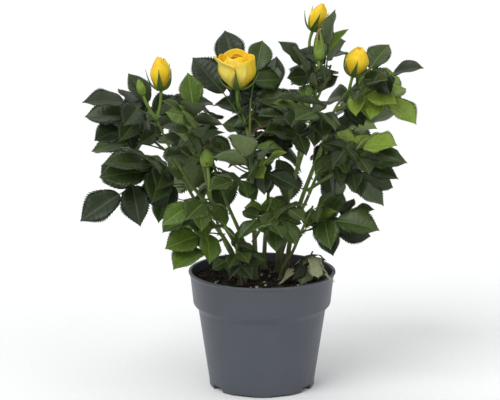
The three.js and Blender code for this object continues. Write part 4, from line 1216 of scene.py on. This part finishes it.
def makePot():
    bodyTop, collar, rim, lip = pot["bodyTop"], pot["collar"], pot["rim"], pot["lip"]
    heel, wall, height, floor = pot["heelRadius"], pot["wall"], pot["height"], pot["floor"]
    angles = [turn * k / potDetail["turns"] for k in range(potDetail["turns"])]
    for notch in (pot["drain"], pot["relief"]):
        half = math.asin(notch["width"] / 2 / heel)
        for middle in notch["angles"]:
            for edge in (-1, 1):
                at = (middle * degree + 1.5 * math.pi + edge * half) % turn
                angles += [at - potDetail["notchEdge"], at + potDetail["notchEdge"]]
    angles = sorted(a % turn for a in angles)
    inner = heel - wall + 0.6
    corners = [bodyTop, collar, rim, lip, (lip[0], height), (rim[0] - wall, height)]
    corners += [(rim[0] - wall - 0.1, rim[1]), *((x - wall, z + 1) for x, z in (collar, bodyTop))]
    upper = roundCorners([(heel, 0), *corners, (inner, floor)], [0, *potDetail["radii"], 0])[1:-1]
    lift, ring, bevel = (potDetail["foot"][key] for key in ("lift", "ring", "bevel"))
    rings = []
    for angle in angles:
        high, deep = notchAt(angle)
        foot = [(0.01, lift), (heel - deep - ring[0], lift), (heel - deep - ring[1], 0), (heel - deep, 0),
                (heel - deep, high)]
        foot += [(heel + out, high + rise) for out, rise in bevel[:-1]]
        foot.append((heel + bevel[-1][0], bevel[-1][1]))
        outline = np.vstack([foot, upper, [(inner, floor), (0.01, floor)]])
        x, z = outline.T
        rings.append(np.stack([x * math.cos(angle), x * math.sin(angle), z], 1))
    count = len(rings[0])
    shell = Heap()
    faces = gridFaces(len(rings) + 1, count, flip=True) % (len(rings) * count)
    shell.add(np.concatenate(rings), faces)
    plastic = Finish("potPlastic", {"Specular IOR Level": potDetail["specular"]})
    cloud = plastic.noise(14, 4, 0.6)
    colour = plastic.ramp(cloud, (0.3, paint(*potDetail["plastic"])), (0.75, paint(*potDetail["worn"])))
    scuffs = plastic.ramp(plastic.noise(60, 6, 0.75, stretch=(1, 1, 3)), (0.62, black), (0.74, white))
    height = plastic.node("ShaderNodeSeparateXYZ", inputs=[plastic.place()], output=2)
    # painted highlight: from a little below the rim top upwards the plastic is blended toward pale grey, a
    # lighter band standing in for light on the lip
    rise = (height - potDetail["dustFrom"]) / potDetail["dustSpan"] + (plastic.noise(120, 3) - 0.5)
    rimHighlight = plastic.ramp(rise, (0.5, black), (1, white))
    # the pale grey blend is the painted rim highlight at the top and scuff wear elsewhere
    mask = rimHighlight * potDetail["dustShare"] + scuffs * potDetail["scuffShare"]
    plastic.feed("Base Color", plastic.blend(mask, colour, paint(*potDetail["dust"])))
    plastic.feed("Roughness", plastic.noise(45, 3) * 0.16 + 0.32 + scuffs * 0.15)
    plastic.bump(plastic.noise(900, 3, 0.7) * 0.6 + plastic.noise(8, 1) * 0.4, 0.12, 0.0006)
    shell.piece("potShell", [plastic], "pot_plastic", ["pot"])


makePot()
print("pot made")


# Soil: dark peat mounded round the canes, with bark crumbs, fibres and pale grit

ground = {
    "rings": 44, "turns": 160, "crowd": 0.85, "skirt": 6, "edgeEnd": 61, "lowered": 0.9,
    "seed": 1907, "waves": 16, "waveSize": (3, 16), "waveRise": 0.7, "relief": 1.3, "calm": 5,
    "piecesSeed": 4409, "crumbs": 2600, "crumbSize": (0.7, 2.1), "crumbHalf": (0.25, 0.35),
    "grit": 46, "gritSize": (1.3, 1.7), "fibres": 170, "fibreHalf": (2, 5), "fibreThick": (0.22, 0.35), "straws": 0.35, "clear": 1.6,
    "peat": (32, 27, 24), "black": (20, 18, 17), "brown": (52, 41, 33), "red": (70, 48, 37),
    "pale": (206, 202, 190), "straw": (112, 96, 70),
}


def soilHeight(x, y):
    edge = smoothStep(soil["flatRadius"] - 6, ground["edgeEnd"], np.hypot(x, y))
    level = soil["top"] - ground["lowered"] + (soil["edge"] - soil["top"]) * edge
    random = makeRandom(ground["seed"])
    largest = sum(ground["waveSize"])
    rough = 0
    for i in range(ground["waves"]):
        angle, size, phase = random() * turn, between(ground["waveSize"], random), random() * turn
        wave = np.sin((x * math.cos(angle) + y * math.sin(angle)) / size * turn + phase)
        rough = rough + wave * (size / largest) ** ground["waveRise"]
    return level + ground["relief"] * rough / ground["calm"] * (1 - 0.5 * edge)


def soilEdge(height):
    slope = (pot["rim"][0] - pot["collar"][0]) / (pot["rim"][1] - pot["collar"][1])
    return pot["collar"][0] + slope * (height - pot["collar"][1]) - pot["wall"] - 0.1


def crumb(heap, place, size, random, look):
    # a broken lump: a cube's corners pushed in and out
    corners = []
    for i in range(8):
        signs = vec(i & 1, i >> 1 & 1, i >> 2 & 1) * 2 - 1
        corners.append(signs * vec(*(between(ground["crumbHalf"], random) for axis in signs)))
    spin, tip = random() * turn, random() * turn
    c, s, c2, s2 = math.cos(spin), math.sin(spin), math.cos(tip), math.sin(tip)
    spun = np.array(corners) @ np.array([[c, s, 0], [-s, c, 0], [0, 0, 1]])
    tipped = spun @ np.array([[1, 0, 0], [0, c2, s2], [0, -s2, c2]])
    faces = [(0, 2, 3, 1), (4, 5, 7, 6), (0, 1, 5, 4), (2, 6, 7, 3), (0, 4, 6, 2), (1, 3, 7, 5)]
    heap.add(place + tipped * size, faces, look)


def makeSoil():
    bed = Heap()
    wide = soilEdge(soil["edge"])
    radii = wide * (np.arange(ground["rings"] + 1) / ground["rings"]) ** ground["crowd"]
    angles = turn * np.arange(ground["turns"]) / ground["turns"]
    x, y = radii[:, None] * np.cos(angles), radii[:, None] * np.sin(angles)
    skirt = np.stack([x[-1], y[-1], np.full(len(angles), soil["edge"] - ground["skirt"])], 1)
    points = np.concatenate([np.stack([x, y, soilHeight(x, y)], 2).reshape(-1, 3), skirt])
    bed.add(points, gridFaces(ground["rings"] + 2, ground["turns"], wrap=True))
    peat = Finish("peat", {"Specular IOR Level": 0.3})
    lump = peat.noise(320, 6, 0.7)
    peat.tint(lump, (0.3, ground["black"]), (0.52, ground["peat"]), (0.72, ground["brown"]))
    peat.feed("Roughness", lump * 0.3 + 0.62)
    peat.bump(lump, 0.9, 0.0014)
    bed.piece("soilBed", [peat], "potting_soil", ["soil"])
    random = makeRandom(ground["piecesSeed"])
    crumbs, fibres = Heap(), Heap()

    def spot(lift, most=1):
        radius, angle = (wide - ground["clear"]) * math.sqrt(random() * most), random() * turn
        x, y = radius * math.cos(angle), radius * math.sin(angle)
        return vec(x, y, float(soilHeight(x, y))) + up(lift)
    least, more = ground["crumbSize"]
    for i in range(ground["crumbs"]):
        size = least + more * random() ** 2.5
        crumb(crumbs, spot(0.2 * size), size, random, int(random() * 3.6))
    for i in range(ground["grit"]):
        crumb(crumbs, spot(0.4), between(ground["gritSize"], random), random, 4)
    least, more = ground["fibreHalf"]
    for i in range(ground["fibres"]):
        middle, heading, half = spot(0.7, 0.9), random() * turn, least + more * random() ** 2
        away = onLevel(heading, 0.1 * (random() - 0.5)) * half
        side = sideways(heading) * half * (random() - 0.5) * 0.5
        strand = Bezier(middle - away, middle + side + up(0.8 * random()), middle + away)
        thick = between(ground["fibreThick"], random)
        sweep(fibres, strand, lambda t, a: thick * (1 - 0.5 * t), 5, 4, int(random() < ground["straws"]))
    looks = []
    for name in ("black", "peat", "brown", "red", "pale"):
        look = Finish("crumb" + name.capitalize(), {"Specular IOR Level": 0.35})
        base = np.array(paint(*ground[name]))
        fleck = look.noise(900, 3)
        look.feed("Base Color", look.ramp(fleck, (0.35, (*base[:3] * 0.75, 1)), (0.65, (*base[:3] * 1.2, 1))))
        look.feed("Roughness", fleck * 0.3 + 0.6)
        looks.append(look)
    crumbs.piece("soilCrumbs", looks, "potting_soil", smooth=False)
    fibreLooks = [looks[2], leafFinish("strawFibre", ground["straw"], 0.8)]
    fibres.piece("soilFibres", fibreLooks, "potting_soil")


makeSoil()
print("soil made")


# Flowers: overlapping petals on a green hip, with five long sepals

petals = {
    "pale": (250, 230, 112), "yellow": (250, 214, 52), "gold": (242, 190, 30), "blush": (224, 150, 20),
    "sepal": (88, 112, 48), "sepalBack": (124, 146, 66), "hip": (120, 146, 60), "tip": (126, 74, 58),
    "thickness": 0.45, "columns": 15, "rows": 19,
}
petalShape = {
    "wander": 8, "spread": (0.26, 0.74), "spreadFrom": 0.1, "spreadPower": 1.2, "wave": 0.05,
    "opening": (0.2, 0.8), "openBy": 0.58, "openPower": 0.9, "closing": (0.55, 0.45), "closePower": 1.7,
    "curlFrom": 0.72, "curlSides": 0.6, "overlap": 0.045, "uneven": 0.03, "rise": (0.97, 0.04),
    "arch": (0.17, 0.05), "ripple": 0.025,
}
sepalShape = {
    "length": (0.95, 0.25), "rows": 13, "columns": 5, "greenWidth": 0.5, "openWidth": 0.19,
    "belly": (0.7, 1.7), "tipPower": 1.5, "tip": 0.14, "cup": 0.35, "thickness": 0.4,
}
petalPlans = {  # each petal: heading, radius, angular width, close, foot, height, curl, tone of its outside
    "cup": [
        (205, 0.96, 125, 0, 0.06, 1.0, 0.24, 0), (318, 0.94, 125, 0.08, 0.07, 0.94, 0.03, 1),
        (258, 0.9, 105, 0.04, 0.07, 0.97, 0.04, 0), (20, 0.92, 130, 0.08, 0.08, 0.98, 0.06, 1),
        (92, 0.86, 140, 0.04, 0.1, 1.05, 0.08, 0), (150, 0.88, 130, 0.06, 0.1, 1.0, 0.07, 1),
        (290, 0.74, 150, 0.3, 0.12, 0.97, 0, 1), (215, 0.7, 150, 0.3, 0.12, 0.97, 0, 1),
        (80, 0.66, 150, 0.3, 0.12, 1.0, 0, 1), (350, 0.54, 170, 0.4, 0.13, 0.94, 0, 2),
        (130, 0.5, 180, 0.45, 0.13, 0.96, 0, 2), (250, 0.46, 180, 0.5, 0.13, 0.93, 0, 2),
        (60, 0.28, 200, 0.5, 0.13, 0.92, 0, 2), (240, 0.26, 200, 0.5, 0.13, 0.9, 0, 2),
    ],
    "bud": [
        (250, 1.0, 165, 0.6, 0.07, 0.95, 0.02, 1), (12, 0.98, 165, 0.62, 0.07, 0.93, 0.03, 1),
        (130, 0.98, 165, 0.6, 0.07, 0.92, 0.03, 0), (300, 0.86, 170, 0.76, 0.08, 0.98, 0, 1),
        (60, 0.86, 170, 0.78, 0.08, 0.97, 0, 2), (180, 0.86, 170, 0.78, 0.08, 1.0, 0, 2),
        (30, 0.64, 220, 0.9, 0.08, 1.0, 0, 2), (210, 0.64, 220, 0.9, 0.08, 1.0, 0, 2),
    ],
}
budProfiles = {  # look, then radius and height as shares of the bud's own
    "round": [(5, [(0.01, 0), (0.2, 0), (0.62, 0.1), (0.55, 0.2), (0.9, 0.34), (0.92, 0.52), (0.62, 0.75),
                   (0.2, 0.95), (0.01, 1)])],
    "slender": [(5, [(0.01, 0), (0.25, 0), (0.7, 0.07), (0.95, 0.2), (0.92, 0.32), (0.6, 0.48), (0.36, 0.6)]),
                (6, [(0.36, 0.6), (0.26, 0.74), (0.2, 0.88), (0.01, 1)])],
}


def addShell(heap, grid, thickness, outer, inner):
    # two skins of one curved sheet, joined round the rim
    rows, columns = grid.shape[:2]
    normal = np.cross(np.gradient(grid, axis=1), np.gradient(grid, axis=0))
    normal /= np.maximum(np.linalg.norm(normal, axis=2, keepdims=True), 1e-9)
    first, second = grid + normal * thickness / 2, grid - normal * thickness / 2
    count = rows * columns
    quads = gridFaces(rows, columns)
    index = np.arange(count).reshape(rows, columns)
    rim = [*index[0], *index[1:, -1], *index[-1, -2::-1], *index[-2:0:-1, 0]]
    sides = [(a, b, b + count, a + count) for a, b in zip(rim, rim[1:] + rim[:1])]
    looks = [outer] * len(quads) + [inner] * len(quads) + [outer] * len(sides)
    faces = np.vstack([quads[:, ::-1], quads + count, sides])
    heap.add(np.vstack([first.reshape(-1, 3), second.reshape(-1, 3)]), faces, looks)


def petalGrid(form, plan, random):
    heading, girth, width, close, foot, tall, curl = plan[:-1]
    shape = petalShape
    angle = (heading + shape["wander"] * (random() - 0.5)) * degree
    u = np.linspace(-1, 1, petals["columns"])[None, :]
    v = np.linspace(0, 1, petals["rows"])[:, None]
    half = form["width"] / 2
    bulge = np.sin(math.pi * np.clip(shape["spreadFrom"] + 0.5 * v, 0, 1)) ** shape["spreadPower"]
    spread = width * degree * (shape["spread"][0] + shape["spread"][1] * bulge)
    wave = shape["wave"] * np.sin(3 * u + random() * turn) * v
    direction = angle + u * spread / 2 + wave
    rising = np.sin(math.pi / 2 * np.minimum(v / shape["openBy"], 1)) ** shape["openPower"]
    opening = shape["opening"][0] + shape["opening"][1] * rising
    top = np.clip((v - shape["closing"][0]) / shape["closing"][1], 0, 1)
    radius = half * girth * opening * (1 - close * top ** shape["closePower"])
    curled = curl * smoothStep(shape["curlFrom"], 1, v) * (1 + shape["curlSides"] * u ** 2)
    radius = radius + half * (curled + shape["overlap"] * u)
    radius = radius * (1 + shape["uneven"] * np.sin(5 * v + random() * turn) * u)
    rise = tall * between(shape["rise"], random)
    arch = shape["arch"][0] * u ** 2 + shape["arch"][1] * np.abs(u)
    height = form["height"] * (foot + (rise - foot) * (v - arch * v ** 2))
    height = height + form["height"] * shape["ripple"] * np.sin(4 * u + random() * turn) * v ** 3
    return np.stack(np.broadcast_arrays(radius * np.cos(direction), radius * np.sin(direction), height), 2)


def sepalGrid(form, angle, flare, random):
    out = onLevel(angle)
    length = form["sepal"] * between(sepalShape["length"], random)
    half = form["width"] / 2
    if form["kind"] == "green":
        broad = half * sepalShape["greenWidth"]
        path = Bezier(out * half * 0.35 + up(1), out * half * 1.25 + up(form["height"] * 0.45),
                      up(form["height"] * 0.95) + out * half * 0.25 * flare)
    else:
        broad = form["sepal"] * sepalShape["openWidth"]
        path = Bezier(out * half * 0.3 + up(1.6), out * (half * 1.12) + up(length * 0.3),
                      out * (half * 0.9 + length * flare) + up(length * (1.1 - 0.3 * flare)))
    side = sideways(angle)
    least, more = sepalShape["belly"]
    across = np.linspace(-1, 1, sepalShape["columns"])
    rows = []
    for v in np.linspace(0, 1, sepalShape["rows"]):
        normal = unit(cross(side, path.slope(v)))
        wide = broad * (least + more * v) * (1 - v) ** sepalShape["tipPower"] + sepalShape["tip"]
        rows.append([path.at(v) + side * wide * s + normal * wide * sepalShape["cup"] * s * s for s in across])
    return np.array(rows)


def lathe(heap, outline, sides, look):
    angles = turn * np.arange(sides) / sides
    outline = np.array(outline)
    ring = np.stack([np.cos(angles), np.sin(angles), np.zeros(sides)], 1)
    points = outline[:, None, :1] * ring[None] + outline[:, None, 1:] * up(1)
    heap.add(points.reshape(-1, 3), gridFaces(len(outline), sides, wrap=True), look)


def makeFlower(name, base, looks):
    form = flowerForms[name]
    heap = Heap()
    random = makeRandom(len(name) * 733 + int(form["width"] * 17 + form["height"]))
    half, tall = form["width"] / 2, form["height"]
    if form["kind"] == "green":
        slender = tall > 2.4 * form["width"]
        for look, profile in budProfiles["slender" if slender else "round"]:
            corners = [(max(half * r, 0.05), tall * z) for r, z in profile]
            lathe(heap, roundCorners(corners, [0] + [1.6] * (len(corners) - 2) + [0]), 20, look)
        for i in range(5):
            flare = 0.4 * random() if slender else 0.6 + 0.8 * random()
            addShell(heap, sepalGrid(form, i * turn / 5 + 0.3, flare, random), sepalShape["thickness"], 4, 4)
    else:
        hip = roundCorners([(0.05, 0), (1.35, 0), (half * 0.36, tall * 0.06), (half * 0.4, tall * 0.14),
                            (half * 0.22, tall * 0.2), (0.05, tall * 0.2)], [0, 0, 1.5, 1.5, 1, 0])
        lathe(heap, hip, 20, 5)
        core = [(0.05, tall * 0.1), (half * 0.3, tall * 0.2), (half * 0.42, tall * 0.5),
                (half * 0.2, tall * 0.8), (0.05, tall * 0.86)]
        lathe(heap, roundCorners(core, [0, 2, 4, 3, 0]), 16, 2)
        for plan in petalPlans[form["kind"]]:
            addShell(heap, petalGrid(form, plan, random), petals["thickness"], plan[-1], max(plan[-1], 1))
        for i in range(5):
            flare = 0.08 + 0.42 * random() if form["kind"] == "bud" else 0.05 + 0.35 * random()
            addShell(heap, sepalGrid(form, i * turn / 5 + 0.9, flare, random), sepalShape["thickness"], 3, 4)
    axis = unit(vec(*form["lean"], 1))
    side = unit(cross(vec(0, 1, 0), axis))
    facing = np.array([side, cross(axis, side), axis])
    heap.points = [vec(*base) + axis * seatGap + points @ facing for points in heap.points]
    label = "".join(word.capitalize() if i else word for i, word in enumerate(name.split("_")))
    heap.piece(label, looks, "green_bud" if form["kind"] == "green" else "petal", [name])


def petalFinish(name, colour, deep):
    finish = Finish(name, {"Specular IOR Level": 0.2, "Sheen Weight": 0.05, "Subsurface Weight": 0.06,
                           "Subsurface Radius": (0.003, 0.002, 0.0006), "Subsurface Scale": 1.0})
    veins = finish.noise(500, 3, 0.6, stretch=(1, 1, 0.15))
    finish.feed("Base Color", finish.ramp(veins, (0.3, paint(*deep)), (0.6, paint(*colour))))
    finish.feed("Roughness", veins * 0.2 + 0.42)
    finish.bump(veins, 0.25, 0.0004)
    return finish


petalLooks = [petalFinish("petalPale", petals["pale"], petals["yellow"]),
              petalFinish("petalYellow", petals["yellow"], petals["gold"]),
              petalFinish("petalGold", petals["gold"], petals["blush"]),
              leafFinish("sepal", petals["sepal"], 0.5), leafFinish("sepalBack", petals["sepalBack"], 0.6),
              leafFinish("hip", petals["hip"], 0.42), leafFinish("budTip", petals["tip"], 0.5)]
for mass in masses:
    for name, base in mass["flowers"]:
        makeFlower(name, base, petalLooks)
print("flowers made")


# The dead shoot by the rim: a bare twig with dry, curled leaves hanging round it

dry = {
    "seed": 6151, "twig": (78, 62, 46), "radius": (1.2, 0.5), "crumple": 0.06, "wider": 1.1, "fold": -0.25,
    "droop": 0.3,
    "order": ("pale", "black", "green", "pale", "black"),
    "layers": ((1, 0, -0.25), (0.72, 0.9, -0.5), (0.55, -0.8, -0.1)),
    "tones": {
        "black": ((46, 52, 36), (66, 72, 52), (82, 86, 64)),
        "green": ((84, 92, 62), (110, 116, 84), (128, 132, 102)),
        "pale": ((148, 152, 118), (172, 174, 142), (168, 170, 138)),
    },
}


def makeWithered():
    random = makeRandom(dry["seed"])
    thick, taper = dry["radius"]
    heap = Heap()
    sweep(heap, witheredCurve(), lambda t, a: thick - taper * t, 7, 12, 3)
    heaps = {"black": heap, "green": Heap(), "pale": Heap()}
    for number, leaflet in enumerate(witheredBlades()):
        for layer, (scale, spin, dip) in enumerate(dry["layers"]):
            c, s = math.cos(spin), math.sin(spin)
            along = unit(leaflet["along"] * c + leaflet["across"] * s + up(dip))
            across = unit(cross(leaflet["normal"], along))
            crisp = {**leaflet, "along": along, "across": across, "normal": cross(along, across),
                     "length": leaflet["length"] * scale, "width": leaflet["width"] * dry["wider"] * scale,
                     "fold": dry["fold"], "droop": dry["droop"]}
            kind = dry["order"][(number + 2 * layer) % len(dry["order"])]
            bladeMesh(heaps[kind], crisp, random, dry["crumple"])
    for kind, (top, vein, under) in dry["tones"].items():
        looks = [leafFinish("dryTop" + kind, top, 0.85), leafFinish("dryVein" + kind, vein, 0.85),
                 leafFinish("dryUnder" + kind, under, 0.9), leafFinish("dryTwig" + kind, dry["twig"], 0.85)]
        heaps[kind].piece("withered" + kind.capitalize(), looks, "withered_leaf", ["withered_leaves"])


makeWithered()
print("dead shoot made")
